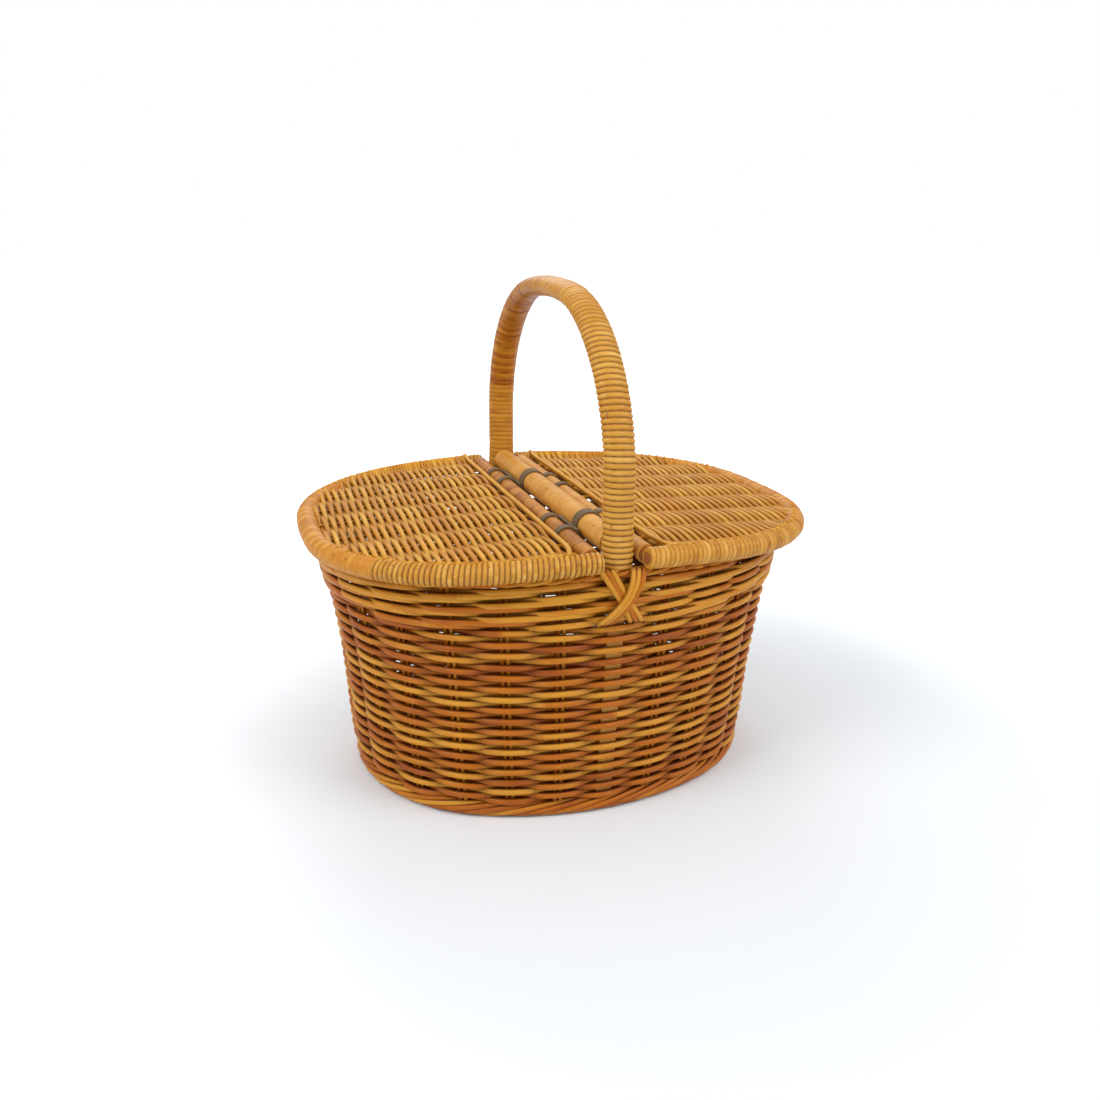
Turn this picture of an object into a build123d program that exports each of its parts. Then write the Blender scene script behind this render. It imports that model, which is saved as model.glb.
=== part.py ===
from build123d import *
from math import asin, atan2, cos, degrees, hypot, pi, radians, sin, sqrt, tan
import os

# An oval cane picnic basket with a fixed bow handle and two lids that open like wings.
# X runs along the basket, Y across it, Z up. The origin is on the floor under its centre.

# Lids
lid_length = 400.0
lid_width = 327.4
lid_slope_deg = 2.2
hoop_radius = 8.0
hoop_core_radius = 4.6
rib_diameter = 4.0
rib_spacing = 39.0
lid_weave_thickness = 9.0
lid_weave_drop = 2.5
border_strand_diameter = 4.0
border_strand_offset = 32.0

# Bars between the handle's legs
lid_bar_offset = 20.0
lid_bar_radius = 7.0
lid_bar_core_radius = 5.4
centre_bar_radius = 9.5
centre_bar_core_radius = 7.6
centre_bar_lift = 5.6
hoop_end_offset = 16.0
hoop_end_fillet = 2.9

# Basket body, as oval levels from the floor up
rim_end_height = 192.5
foot_length = 327.2
foot_width = 265.0
low_height = 40.0
low_length = 337.4
low_width = 276.8
waist_height = 100.0
waist_length = 346.0
waist_width = 289.2
shoulder_height = 155.0
shoulder_length = 363.4
shoulder_width = 298.8
rim_length = 379.8
rim_width = 303.6

# Wall, borders and stakes
rod_layer = 8.8
stake_diameter = 3.4
stake_pitch = 4.2
stake_places = 26
wale_proud = 1.2
foot_border_height = 13.0
foot_border_width = 12.0
foot_border_round = 5.0
rim_border_height = 8.0
rim_border_round = 3.4

# Base
base_thickness = 6.5
base_underside = 5.0
base_stick_diameter = 5.0
long_stick_count = 5
long_stick_spacing = 38.0
short_stick_count = 9
short_stick_spacing = 30.0

# Handle
handle_half_width = 142.8
handle_apex_height = 375.8
handle_corner_radius = 117.2
handle_top_radius = 344.4
handle_core_radius = 6.5
handle_radius = 10.4
leg_tang_width = 13.0
leg_tang_thickness = 4.6
leg_shave_height = 30.0
winding_turns = 14
winding_pitch = 4.1
winding_rod_radius = 1.8

# Lashings over the rim and straps round the bars
lashing_strands = 3
lashing_strand_radius = 1.5
lashing_foot = 163.0
lashing_head_drop = 1.6
lashing_spread = 13.0
strap_thickness = 1.2
centre_strap_width = 9.5
lid_strap_width = 6.5
strap_link_height = 6.5
strap_link_thickness = 2.0
far_centre_strap_y = 47.0
far_left_straps_y = (93.0, 60.0)
far_right_straps_y = (62.0, 28.0)
near_centre_strap_y = -85.0
near_left_straps_y = (-60.0, -93.0)
near_right_straps_y = (-60.0, -93.0)

# Clearances
seat_gap = 0.3
fit_gap = 0.1
winding_gap = 0.15

# Oval outlines: end and side arcs of long radius joined by tighter corner arcs
lid_fullness = (3.1, 2.5, 0.81)
body_fullness = (1.15, 1.38, 0.92)

slope = radians(lid_slope_deg)
hoop_half_length = lid_length / 2 - hoop_radius
hoop_half_width = lid_width / 2 - hoop_radius
lid_ridge = rim_end_height + seat_gap + hoop_radius + hoop_half_length * tan(slope)
lid_bar_height = lid_ridge - lid_bar_offset * tan(slope)
centre_bar_height = lid_bar_height + centre_bar_lift
rim_ridge = rim_end_height + lid_length / 2 * tan(slope)


def oval_centres(half_length, half_width, fullness, inset=0.0):
    """Centres, radii and tangent angles of the arcs in one quarter of an oval."""
    end_radius = fullness[0] * half_width
    side_radius = fullness[1] * half_length
    corner_radius = fullness[2] * min(half_length, half_width)
    end_x = half_length - end_radius
    side_y = half_width - side_radius
    end_reach = end_radius - corner_radius
    side_reach = side_radius - corner_radius
    span = hypot(end_x, side_y)
    along = (end_reach**2 - side_reach**2 + span**2) / (2 * span)
    off = sqrt(max(end_reach**2 - along**2, 0.0))
    step_x = -end_x / span
    step_y = side_y / span
    corner_x = end_x + along * step_x - off * step_y
    corner_y = along * step_y + off * step_x
    if corner_x < 0 or corner_y < 0:
        corner_x = end_x + along * step_x + off * step_y
        corner_y = along * step_y - off * step_x
    end_angle = degrees(atan2(corner_y, corner_x - end_x))
    side_angle = degrees(atan2(corner_y - side_y, corner_x))
    return {
        "end": (end_x, 0.0, end_radius - inset, end_angle),
        "side": (0.0, side_y, side_radius - inset, side_angle),
        "corner": (corner_x, corner_y, corner_radius - inset),
    }


def oval_outline(half_length, half_width, fullness, inset=0.0):
    """Draw the whole oval in the current line builder."""
    arcs = oval_centres(half_length, half_width, fullness, inset)
    end_x, _, end_radius, end_angle = arcs["end"]
    _, side_y, side_radius, side_angle = arcs["side"]
    corner_x, corner_y, corner_radius = arcs["corner"]
    turn = side_angle - end_angle
    CenterArc((end_x, 0), end_radius, -end_angle, 2 * end_angle)
    CenterArc((corner_x, corner_y), corner_radius, end_angle, turn)
    CenterArc((0, side_y), side_radius, side_angle, 180 - 2 * side_angle)
    CenterArc((-corner_x, corner_y), corner_radius, 180 - side_angle, turn)
    CenterArc((-end_x, 0), end_radius, 180 - end_angle, 2 * end_angle)
    CenterArc((-corner_x, -corner_y), corner_radius, 180 + end_angle, turn)
    CenterArc((0, -side_y), side_radius, 180 + side_angle, 180 - 2 * side_angle)
    CenterArc((corner_x, -corner_y), corner_radius, -side_angle, turn)


def body_level(height):
    """Half length and half width of the body's outside at a height."""
    levels = (
        (0.0, foot_length, foot_width),
        (low_height, low_length, low_width),
        (waist_height, waist_length, waist_width),
        (shoulder_height, shoulder_length, shoulder_width),
        (rim_end_height, rim_length, rim_width),
    )
    lower = levels[0]
    upper = levels[-1]
    for first, second in zip(levels, levels[1:]):
        if first[0] <= height <= second[0]:
            lower = first
            upper = second
    if height > rim_end_height:
        lower = levels[-2]
    share = (height - lower[0]) / (upper[0] - lower[0])
    length = lower[1] + share * (upper[1] - lower[1])
    width = lower[2] + share * (upper[2] - lower[2])
    return length / 2, width / 2


def body_section(height, inset):
    """One level of the body as a sketch."""
    half_length, half_width = body_level(height)
    with BuildSketch(Plane.XY.offset(height)) as section:
        with BuildLine():
            oval_outline(half_length, half_width, body_fullness, inset)
        make_face()
    return section.sketch


def body_solid(heights, inset):
    """A solid through the body's levels, with its outside moved in by the inset."""
    sections = []
    for height in heights:
        sections.append(body_section(height, inset))
    with BuildPart() as solid:
        loft(sections, ruled=True)
    return solid.part


def body_point(height, angle, inset=0.0):
    """Point and outward direction on the body's oval at an angle from its centre."""
    half_length, half_width = body_level(height)
    arcs = oval_centres(half_length, half_width, body_fullness)
    end_x, _, end_radius, end_angle = arcs["end"]
    _, side_y, side_radius, side_angle = arcs["side"]
    corner_x, corner_y, corner_radius = arcs["corner"]
    folded = atan2(abs(sin(angle)), abs(cos(angle)))
    choices = (
        (end_x, 0.0, end_radius, 0.0, end_angle),
        (corner_x, corner_y, corner_radius, end_angle, side_angle),
        (0.0, side_y, side_radius, side_angle, 90.0),
    )
    for centre_x, centre_y, radius, start, finish in choices:
        ahead = centre_x * cos(folded) + centre_y * sin(folded)
        across = centre_x * sin(folded) - centre_y * cos(folded)
        reach = ahead + sqrt(max(radius**2 - across**2, 0.0))
        x = reach * cos(folded)
        y = reach * sin(folded)
        facing = degrees(atan2(y - centre_y, x - centre_x))
        if start - 0.01 <= facing <= finish + 0.01:
            break
    normal_x = cos(radians(facing)) * (1 if cos(angle) >= 0 else -1)
    normal_y = sin(radians(facing)) * (1 if sin(angle) >= 0 else -1)
    x = abs(x) * (1 if cos(angle) >= 0 else -1) - inset * normal_x
    y = abs(y) * (1 if sin(angle) >= 0 else -1) - inset * normal_y
    return (x, y), (normal_x, normal_y)


def stake_angles():
    """Directions of the stake places, spaced evenly along the waist's outline."""
    steps = 720
    outline = [body_point(waist_height, 2 * pi * i / steps - pi / 2)[0] for i in range(steps + 1)]
    lengths = [0.0]
    for first, second in zip(outline, outline[1:]):
        lengths.append(lengths[-1] + hypot(second[0] - first[0], second[1] - first[1]))
    angles = []
    for place in range(stake_places):
        target = lengths[-1] * place / stake_places
        index = 0
        while lengths[index + 1] < target:
            index += 1
        share = (target - lengths[index]) / (lengths[index + 1] - lengths[index])
        angles.append(2 * pi * (index + share) / steps - pi / 2)
    return angles


def is_leg(angle):
    """The handle's legs take the two stake places on the Y axis."""
    return abs(cos(angle)) < 0.5 * 2 * pi / stake_places * 0.9


def stake_plane(height, angle, inset):
    """A level plane on the straight run of a stake, with its X axis pointing outward."""
    lower = foot_border_height if height < waist_height else waist_height
    upper = waist_height if height < waist_height else rim_end_height
    share = (height - lower) / (upper - lower)
    _, normal = body_point(waist_height, angle)
    start, _ = body_point(lower, angle)
    finish, _ = body_point(upper, angle)
    x = start[0] + share * (finish[0] - start[0]) - inset * normal[0]
    y = start[1] + share * (finish[1] - start[1]) - inset * normal[1]
    return Plane(origin=(x, y, height), x_dir=(normal[0], normal[1], 0), z_dir=(0, 0, 1))


def slot_solid(angle, width, depth):
    """A cutter for a slot in the wall's inside, open towards the basket."""
    with BuildPart() as cutter:
        for height in (foot_border_height, waist_height, rim_ridge):
            with BuildSketch(stake_plane(height, angle, wall_thickness + depth)):
                with Locations((depth, 0)):
                    Rectangle(2 * depth, width)
        loft(ruled=True)
    return cutter.part


def wall_slots():
    """Cutters for the stakes in pairs and for the handle's two flattened legs."""
    cutters = []
    for angle in places:
        if is_leg(angle):
            cutters.append(slot_solid(angle, leg_tang_width + 2 * seat_gap, tang_depth))
        else:
            cutters.append(slot_solid(angle, stake_pitch + stake_diameter + 2 * fit_gap, stake_depth))
    return cutters


def export(part, name):
    """Label a finished piece and write its file."""
    part.label = name
    export_step(part, f"parts/{name}.step")


os.makedirs("parts", exist_ok=True)
wall_thickness = rod_layer + stake_diameter + fit_gap
stake_depth = stake_diameter + fit_gap
tang_depth = leg_tang_thickness + 2 * fit_gap
places = stake_angles()
wall_levels = (foot_border_height + fit_gap, low_height, waist_height, shoulder_height)
wale_levels = (shoulder_height + fit_gap, rim_ridge + seat_gap)


# Base: a woven oval panel, long sticks under it and short sticks over it
base_inset = wall_thickness + seat_gap
base_top = base_underside + base_thickness
long_sticks_y = [(i - (long_stick_count - 1) / 2) * long_stick_spacing for i in range(long_stick_count)]
short_sticks_x = [(i - (short_stick_count - 1) / 2) * short_stick_spacing for i in range(short_stick_count)]
foot_half_length, foot_half_width = body_level(foot_border_height)
base_half_length = foot_half_length - base_inset
base_half_width = foot_half_width - base_inset


def base_reach(offset, half_along, half_across):
    """Half the length of a stick that ends on the base's edge."""
    return half_along * sqrt(1 - (offset / half_across) ** 2) - 2 * base_stick_diameter


with BuildPart() as base_sticks:
    for y in long_sticks_y:
        reach = base_reach(y, base_half_length, base_half_width)
        with BuildSketch(Plane(origin=(-reach, y, base_underside), x_dir=(0, 1, 0), z_dir=(1, 0, 0))):
            Circle(base_stick_diameter / 2)
        extrude(amount=2 * reach)
    for x in short_sticks_x:
        reach = base_reach(x, base_half_width, base_half_length)
        with BuildSketch(Plane(origin=(x, -reach, base_top), x_dir=(-1, 0, 0), z_dir=(0, 1, 0))):
            Circle(base_stick_diameter / 2)
        extrude(amount=2 * reach)
export(base_sticks.part, "base_sticks")

with BuildPart() as base_panel:
    with BuildSketch(Plane.XY.offset(base_underside)):
        with BuildLine():
            oval_outline(foot_half_length, foot_half_width, body_fullness, base_inset)
        make_face()
    extrude(amount=base_thickness)
    for y in long_sticks_y:
        reach = base_reach(y, base_half_length, base_half_width) + seat_gap
        with BuildSketch(Plane(origin=(-reach, y, base_underside), x_dir=(0, 1, 0), z_dir=(1, 0, 0))):
            Circle(base_stick_diameter / 2 + fit_gap)
        extrude(amount=2 * reach, mode=Mode.SUBTRACT)
    for x in short_sticks_x:
        reach = base_reach(x, base_half_width, base_half_length) + seat_gap
        with BuildSketch(Plane(origin=(x, -reach, base_top), x_dir=(-1, 0, 0), z_dir=(0, 1, 0))):
            Circle(base_stick_diameter / 2 + fit_gap)
        extrude(amount=2 * reach, mode=Mode.SUBTRACT)
export(base_panel.part, "base_panel")

# Foot border: a rounded ring that carries the basket on its flat underside
ring_half_length = foot_half_length - foot_border_width / 2
with BuildPart() as foot_border:
    with BuildLine():
        oval_outline(foot_half_length, foot_half_width, body_fullness, foot_border_width / 2)
    with BuildSketch(Plane(origin=(ring_half_length, 0, 0), x_dir=(1, 0, 0), z_dir=(0, 1, 0))):
        with Locations((0, -foot_border_height / 2)):
            RectangleRounded(foot_border_width, foot_border_height, foot_border_round)
    sweep()
export(foot_border.part, "foot_border")

# Wall weave: an open shell with slots inside for the stakes and the handle's legs
slots = wall_slots()
with BuildPart() as wall_weave:
    add(body_solid(wall_levels, 0))
    add(body_solid(wall_levels, wall_thickness), mode=Mode.SUBTRACT)
    add(slots, mode=Mode.SUBTRACT)
export(wall_weave.part, "wall_weave")


def rim_height(x, drop=0.0):
    """Height under the closed lids, which fall from the handle to both ends."""
    return rim_ridge - abs(x) * tan(slope) - drop


def rim_plane(side, drop):
    """The rim's plane on one side of the handle, lowered by the drop."""
    return Plane(
        origin=(0, 0, rim_ridge - drop),
        x_dir=(side * cos(slope), 0, -sin(slope)),
        z_dir=(side * sin(slope), 0, cos(slope)),
    )


# Stakes: a pair of thin reeds at each place, up to the rim border
with BuildPart() as wall_stakes:
    for angle in places:
        if is_leg(angle):
            continue
        inset = wall_thickness - stake_diameter / 2
        top_x = stake_plane(rim_end_height, angle, inset).origin.X
        top = rim_height(top_x, rim_border_height + seat_gap)
        for along in (-stake_pitch / 2, stake_pitch / 2):
            sections = []
            for height in (foot_border_height + seat_gap, waist_height, top):
                with BuildSketch(stake_plane(height, angle, inset)) as section:
                    with Locations((0, along)):
                        RegularPolygon(stake_diameter / 2, 8)
                sections.append(section.sketch)
            loft(sections, ruled=True)
export(wall_stakes.part, "wall_stakes")

# Handle: shaved legs inside the wall, straight above the rim, then an arch of three arcs
leg_round_height = rim_ridge - rim_border_height - seat_gap
leg_flat_height = leg_round_height - leg_shave_height
arch_corner_y = handle_half_width - handle_corner_radius
arch_top_z = handle_apex_height - handle_top_radius
arch_reach = handle_top_radius - handle_corner_radius
arch_corner_z = arch_top_z + sqrt(arch_reach**2 - arch_corner_y**2)
arch_angle = degrees(atan2(arch_corner_z - arch_top_z, arch_corner_y))


def handle_path(near_start, far_start):
    """The handle's centreline over the arch, from one leg height to the other."""
    with BuildLine(Plane.YZ) as path:
        Line((-handle_half_width, near_start), (-handle_half_width, arch_corner_z))
        CenterArc((-arch_corner_y, arch_corner_z), handle_corner_radius, 180, -arch_angle)
        CenterArc((0, arch_top_z), handle_top_radius, 180 - arch_angle, 2 * arch_angle - 180)
        CenterArc((arch_corner_y, arch_corner_z), handle_corner_radius, arch_angle, -arch_angle)
        Line((handle_half_width, arch_corner_z), (handle_half_width, far_start))
    return path.line


def leg_section(side, height, width, thickness, corner, y):
    """One level of a shaved leg."""
    with BuildSketch(Plane(origin=(0, side * y, height))) as section:
        RectangleRounded(width, thickness, corner)
    return section.sketch


tang_inset = wall_thickness - leg_tang_thickness / 2
tang_corner = leg_tang_thickness / 2 - fit_gap
core_width = 2 * handle_core_radius
leg_start = foot_border_height + seat_gap


def leg_y(height):
    """How far out a shaved leg's centre lies at a height."""
    return abs(stake_plane(height, pi / 2, tang_inset).origin.Y)


with BuildPart() as handle_core:
    with BuildSketch(Plane(origin=(0, -handle_half_width, leg_round_height))):
        Circle(handle_core_radius)
    sweep(path=handle_path(leg_round_height, leg_round_height))
    for side in (-1, 1):
        round_end = leg_section(
            side, leg_round_height, core_width, core_width, handle_core_radius - fit_gap, handle_half_width
        )
        flats = []
        for height in (leg_flat_height, waist_height, leg_start):
            flats.append(
                leg_section(side, height, leg_tang_width, leg_tang_thickness, tang_corner, leg_y(height))
            )
        loft([round_end] + flats, ruled=True)
export(handle_core.part, "handle_core")


def leg_pocket(side):
    """A cutter that lets a leg into the wale from the inside."""
    width = core_width + 2 * seat_gap
    outer_levels = (
        (leg_flat_height, leg_y(leg_flat_height) + leg_tang_thickness / 2),
        (leg_round_height, handle_half_width + handle_core_radius),
        (rim_ridge + handle_core_radius, handle_half_width + handle_core_radius),
    )
    with BuildPart() as cutter:
        for height, outer in outer_levels:
            with BuildSketch(Plane(origin=(0, side * (outer + seat_gap - core_width), height))):
                Rectangle(width, 2 * core_width)
        loft(ruled=True)
    return cutter.part


# Rim wale: the thicker band under the rim, cut to the slope of the lids
with BuildPart() as rim_wale:
    add(body_solid(wale_levels, -wale_proud))
    add(body_solid(wale_levels, wall_thickness), mode=Mode.SUBTRACT)
    add(slots + [leg_pocket(-1), leg_pocket(1)], mode=Mode.SUBTRACT)
    for side in (-1, 1):
        split(bisect_by=rim_plane(side, rim_border_height + fit_gap), keep=Keep.BOTTOM)
export(rim_wale.part, "rim_wale")


def half_oval_path(plane, half_length, half_width, fullness, inset, start_x):
    """The part of an oval beyond start_x, drawn on a plane from -Y round to +Y."""
    arcs = oval_centres(half_length, half_width, fullness, inset)
    end_x, _, end_radius, end_angle = arcs["end"]
    _, side_y, side_radius, side_angle = arcs["side"]
    corner_x, corner_y, corner_radius = arcs["corner"]
    turn = side_angle - end_angle
    side_turn = 90 - degrees(asin(start_x / side_radius)) - side_angle
    with BuildLine(plane) as path:
        CenterArc((0, -side_y), side_radius, -side_angle - side_turn, side_turn)
        CenterArc((corner_x, -corner_y), corner_radius, -side_angle, turn)
        CenterArc((end_x, 0), end_radius, -end_angle, 2 * end_angle)
        CenterArc((corner_x, corner_y), corner_radius, end_angle, turn)
        CenterArc((0, side_y), side_radius, side_angle, side_turn)
    return path.line


# Rim border: a rounded border on each side of the handle that carries the closed lid
rim_border_width = wall_thickness + wale_proud
top_half_length, top_half_width = body_level(rim_end_height)
with BuildPart() as rim_border:
    for side in (-1, 1):
        plane = rim_plane(side, rim_border_height / 2)
        path = half_oval_path(
            plane, top_half_length, top_half_width, body_fullness,
            rim_border_width / 2 - wale_proud, handle_radius + seat_gap,
        )
        with BuildSketch(Plane(origin=path @ 0, x_dir=plane.z_dir, z_dir=path % 0)):
            RectangleRounded(rim_border_height, rim_border_width, rim_border_round)
        sweep(path=path)
export(rim_border.part, "rim_border")

# Winding: round core wound about the near leg's straight part as one unbroken rod
winding_radius = handle_core_radius + winding_gap + winding_rod_radius
winding_start = leg_round_height + seat_gap + winding_rod_radius
winding_top = winding_start + winding_turns * winding_pitch
points_per_turn = 8


def winding_point(index):
    """Point of the winding's centreline, counted in eighths of a turn."""
    angle = 2 * pi * index / points_per_turn
    return Vector(
        winding_radius * sin(angle),
        -handle_half_width - winding_radius * cos(angle),
        winding_start + winding_pitch * index / points_per_turn,
    )


winding_steps = winding_turns * points_per_turn
with BuildPart() as near_leg_winding:
    with BuildLine() as path:
        for index in range(0, winding_steps, 2):
            ThreePointArc(winding_point(index), winding_point(index + 1), winding_point(index + 2))
    with BuildSketch(Plane(origin=path.line @ 0, z_dir=path.line % 0)):
        Circle(winding_rod_radius)
    sweep(path=path.line)
export(near_leg_winding.part, "near_leg_winding")
least_gap = min(
    (winding_point(i) - winding_point(j)).length
    for i in range(winding_steps + 1)
    for j in range(i + points_per_turn // 2, winding_steps + 1)
) - 2 * winding_rod_radius
print(f"winding: {winding_turns} turns, least gap to itself {least_gap:.2f} mm")

# Peel wrap over the rest of the handle
with BuildPart() as handle_wrap:
    path = handle_path(winding_top + winding_rod_radius + seat_gap, leg_round_height + seat_gap)
    with BuildSketch(Plane(origin=path @ 0, z_dir=path % 0)):
        Circle(handle_radius)
        Circle(handle_core_radius + fit_gap, mode=Mode.SUBTRACT)
    sweep(path=path)
export(handle_wrap.part, "handle_wrap")


def round_bar(x, height, outer, inner, half_length):
    """A bar or a sleeve along Y, centred on the basket."""
    with BuildPart() as bar:
        with BuildSketch(Plane(origin=(x, -half_length, height), x_dir=(-1, 0, 0), z_dir=(0, 1, 0))):
            Circle(outer)
            if inner > 0:
                Circle(inner, mode=Mode.SUBTRACT)
        extrude(amount=2 * half_length)
    return bar.part


def cope_to_legs(part):
    """Hollow a centre bar's ends to fit against the handle's legs."""
    with BuildPart() as coped:
        add(part)
        for side in (-1, 1):
            with BuildSketch(Plane.XY.offset(centre_bar_height - 2 * centre_bar_radius)):
                with Locations((0, side * handle_half_width)):
                    Circle(handle_radius + seat_gap)
            extrude(amount=4 * centre_bar_radius, mode=Mode.SUBTRACT)
    return coped.part.solids().sort_by(SortBy.VOLUME)[-1]


# Centre bar between the legs, with its peel wrap
with BuildPart() as centre_bar:
    add(cope_to_legs(round_bar(0, centre_bar_height, centre_bar_core_radius, 0, handle_half_width)))
export(centre_bar.part, "centre_bar")

with BuildPart() as centre_bar_wrap:
    sleeve = round_bar(
        0, centre_bar_height, centre_bar_radius, centre_bar_core_radius + fit_gap, handle_half_width
    )
    add(cope_to_legs(sleeve))
export(centre_bar_wrap.part, "centre_bar_wrap")


# Lashings: two groups of strands that cross over the wale in front of each leg
def lashing(side):
    """The crossed strands at one leg, the upper group bowed out over the lower one."""
    foot = lashing_foot
    head = rim_ridge - lashing_head_drop - seat_gap - lashing_strand_radius
    clear = wale_proud + lashing_strand_radius + winding_gap
    foot_y = side * (body_level(foot)[1] + clear)
    head_y = side * (body_level(head)[1] + clear)
    rod = 2 * lashing_strand_radius + winding_gap
    with BuildPart() as strands:
        for lean, bow in ((-side, winding_gap), (side, rod + winding_gap)):
            for count in range(lashing_strands):
                shift = (count - (lashing_strands - 1) / 2) * (rod + winding_gap)
                start = Vector(lean * lashing_spread + shift, foot_y, foot)
                finish = Vector(-lean * lashing_spread + shift, head_y, head)
                middle = (start + finish) * 0.5 + Vector(0, side * bow, 0)
                with BuildLine() as path:
                    ThreePointArc(start, middle, finish)
                with BuildSketch(Plane(origin=path.line @ 0, z_dir=path.line % 0)):
                    Circle(lashing_strand_radius)
                sweep(path=path.line)
    return strands.part


export(lashing(-1), "near_lashing")
export(lashing(1), "far_lashing")


# Hinge straps: one wide band on the centre bar, two bands on each lid bar, and flat links
def band(x, height, bore, width, y):
    """A closed band round a bar."""
    with BuildPart() as ring:
        with BuildSketch(Plane(origin=(x, y - width / 2, height), x_dir=(-1, 0, 0), z_dir=(0, 1, 0))):
            Circle(bore + strap_thickness)
            Circle(bore, mode=Mode.SUBTRACT)
        extrude(amount=width)
    return ring.part


def strap_link(side, y_values):
    """The flat strip between the bars, which joins the bands on both."""
    across = Vector(-side * lid_bar_offset, 0, centre_bar_lift)
    lid_band = lid_bar_radius + seat_gap + strap_thickness
    centre_band = across.length - centre_bar_radius - fit_gap - strap_thickness
    middle = Vector(side * lid_bar_offset, 0, lid_bar_height) + across.normalized() * (
        (lid_band + centre_band) / 2
    )
    low = min(y_values) - lid_strap_width / 2
    high = max(y_values) + lid_strap_width / 2
    with BuildPart() as link:
        with BuildSketch(Plane(origin=(middle.X, low, middle.Z), x_dir=across.normalized(), z_dir=(0, 1, 0))):
            Rectangle(strap_link_thickness, strap_link_height)
        extrude(amount=high - low)
    return link.part


def hinge_strap(centre_y, left_y, right_y):
    """One whole lashing of flat strip round the three bars."""
    with BuildPart() as strap:
        add(band(0, centre_bar_height, centre_bar_radius + fit_gap, centre_strap_width, centre_y))
        for side, bands_y in ((-1, left_y), (1, right_y)):
            for y in bands_y:
                add(band(side * lid_bar_offset, lid_bar_height, lid_bar_radius + seat_gap, lid_strap_width, y))
            add(strap_link(side, bands_y + (centre_y,)))
    return strap.part


export(hinge_strap(near_centre_strap_y, near_left_straps_y, near_right_straps_y), "near_hinge_strap")
export(hinge_strap(far_centre_strap_y, far_left_straps_y, far_right_straps_y), "far_hinge_strap")


def lid_plane(side, lift=0.0):
    """The plane of a lid's hoop, whose X axis falls away from the handle."""
    normal = Vector(side * sin(slope), 0, cos(slope))
    origin = Vector(0, 0, lid_ridge) + normal * lift
    return Plane(origin=origin, x_dir=(side * cos(slope), 0, -sin(slope)), z_dir=normal)


def lid_oval_x(y, inset):
    """How far out a lid's oval lies at a distance across the basket."""
    arcs = oval_centres(hoop_reach, hoop_half_width, lid_fullness, inset)
    end_x, _, end_radius, end_angle = arcs["end"]
    corner_x, corner_y, corner_radius = arcs["corner"]
    if abs(y) < end_radius * sin(radians(end_angle)):
        return end_x + sqrt(end_radius**2 - y**2)
    return corner_x + sqrt(corner_radius**2 - (abs(y) - corner_y) ** 2)


def lid_oval_y(x, inset):
    """Half the width of a lid's oval at a distance out from the handle."""
    _, side_y, side_radius, _ = oval_centres(hoop_reach, hoop_half_width, lid_fullness, inset)["side"]
    return side_y + sqrt(side_radius**2 - x**2)


hoop_reach = hoop_half_length / cos(slope)
hoop_start = hoop_end_offset / cos(slope)
bar_x = lid_bar_offset / cos(slope)
weave_inset = hoop_radius + seat_gap
rib_lift = lid_weave_thickness / 2 - lid_weave_drop
border_lift = rib_lift + (rib_diameter + border_strand_diameter) / 2 + fit_gap
weave_start = border_strand_offset + border_strand_diameter / 2 + seat_gap
rib_count = 2 * int((hoop_half_width - weave_inset - rib_diameter) / rib_spacing) + 1
ribs_y = [(i - (rib_count - 1) / 2) * rib_spacing for i in range(rib_count)]
bar_half_length = lid_oval_y(bar_x + lid_bar_radius, weave_inset)


def hoop_arcs(plane):
    """The hoop's centreline along one edge, and round the outer end."""
    arcs = oval_centres(hoop_reach, hoop_half_width, lid_fullness)
    end_x, _, end_radius, end_angle = arcs["end"]
    _, side_y, side_radius, side_angle = arcs["side"]
    corner_x, corner_y, corner_radius = arcs["corner"]
    half_turn = (side_angle - end_angle) / 2
    split_angle = end_angle + half_turn
    joint = degrees(seat_gap / corner_radius)
    side_turn = 90 - degrees(asin(hoop_start / side_radius)) - side_angle
    with BuildLine(plane) as edge:
        CenterArc((0, -side_y), side_radius, -side_angle - side_turn, side_turn)
        CenterArc((corner_x, -corner_y), corner_radius, -side_angle, half_turn)
    with BuildLine(plane) as outer_end:
        CenterArc((corner_x, -corner_y), corner_radius, joint - split_angle, half_turn - joint)
        CenterArc((end_x, 0), end_radius, -end_angle, 2 * end_angle)
        CenterArc((corner_x, corner_y), corner_radius, end_angle, half_turn - joint)
    return edge.line, outer_end.line


def lid_hoop(side):
    """The bent rod round a lid, whose cut ends show beside the handle."""
    plane = lid_plane(side)
    path = half_oval_path(plane, hoop_reach, hoop_half_width, lid_fullness, 0, hoop_start)
    with BuildPart() as hoop:
        with BuildSketch(Plane(origin=path @ 0, z_dir=path % 0)):
            Circle(hoop_core_radius)
        sweep(path=path)
    return hoop.part


def hoop_sleeve(path, rounded):
    """The wrapping over one run of a hoop, rounded at an end beside the handle."""
    with BuildPart() as sleeve:
        with BuildSketch(Plane(origin=path @ 0, z_dir=path % 0)):
            Circle(hoop_radius)
            Circle(hoop_core_radius + fit_gap, mode=Mode.SUBTRACT)
        sweep(path=path)
        if rounded:
            ends = [
                edge
                for edge in sleeve.edges().filter_by(GeomType.CIRCLE)
                if edge.radius > hoop_radius - fit_gap and abs(edge.center().X) < lid_bar_offset
            ]
            fillet(ends, radius=hoop_end_fillet)
    return sleeve.part


def edge_wraps(side):
    """The weavers wrapped over a lid's near and far edges, rounded where they end."""
    with BuildPart() as wraps:
        add(hoop_sleeve(hoop_arcs(lid_plane(side))[0], True))
        mirror(about=Plane.XZ)
    return wraps.part


def end_wrap(side):
    """The flat peel round a lid's outer end."""
    return hoop_sleeve(hoop_arcs(lid_plane(side))[1], False)


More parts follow.
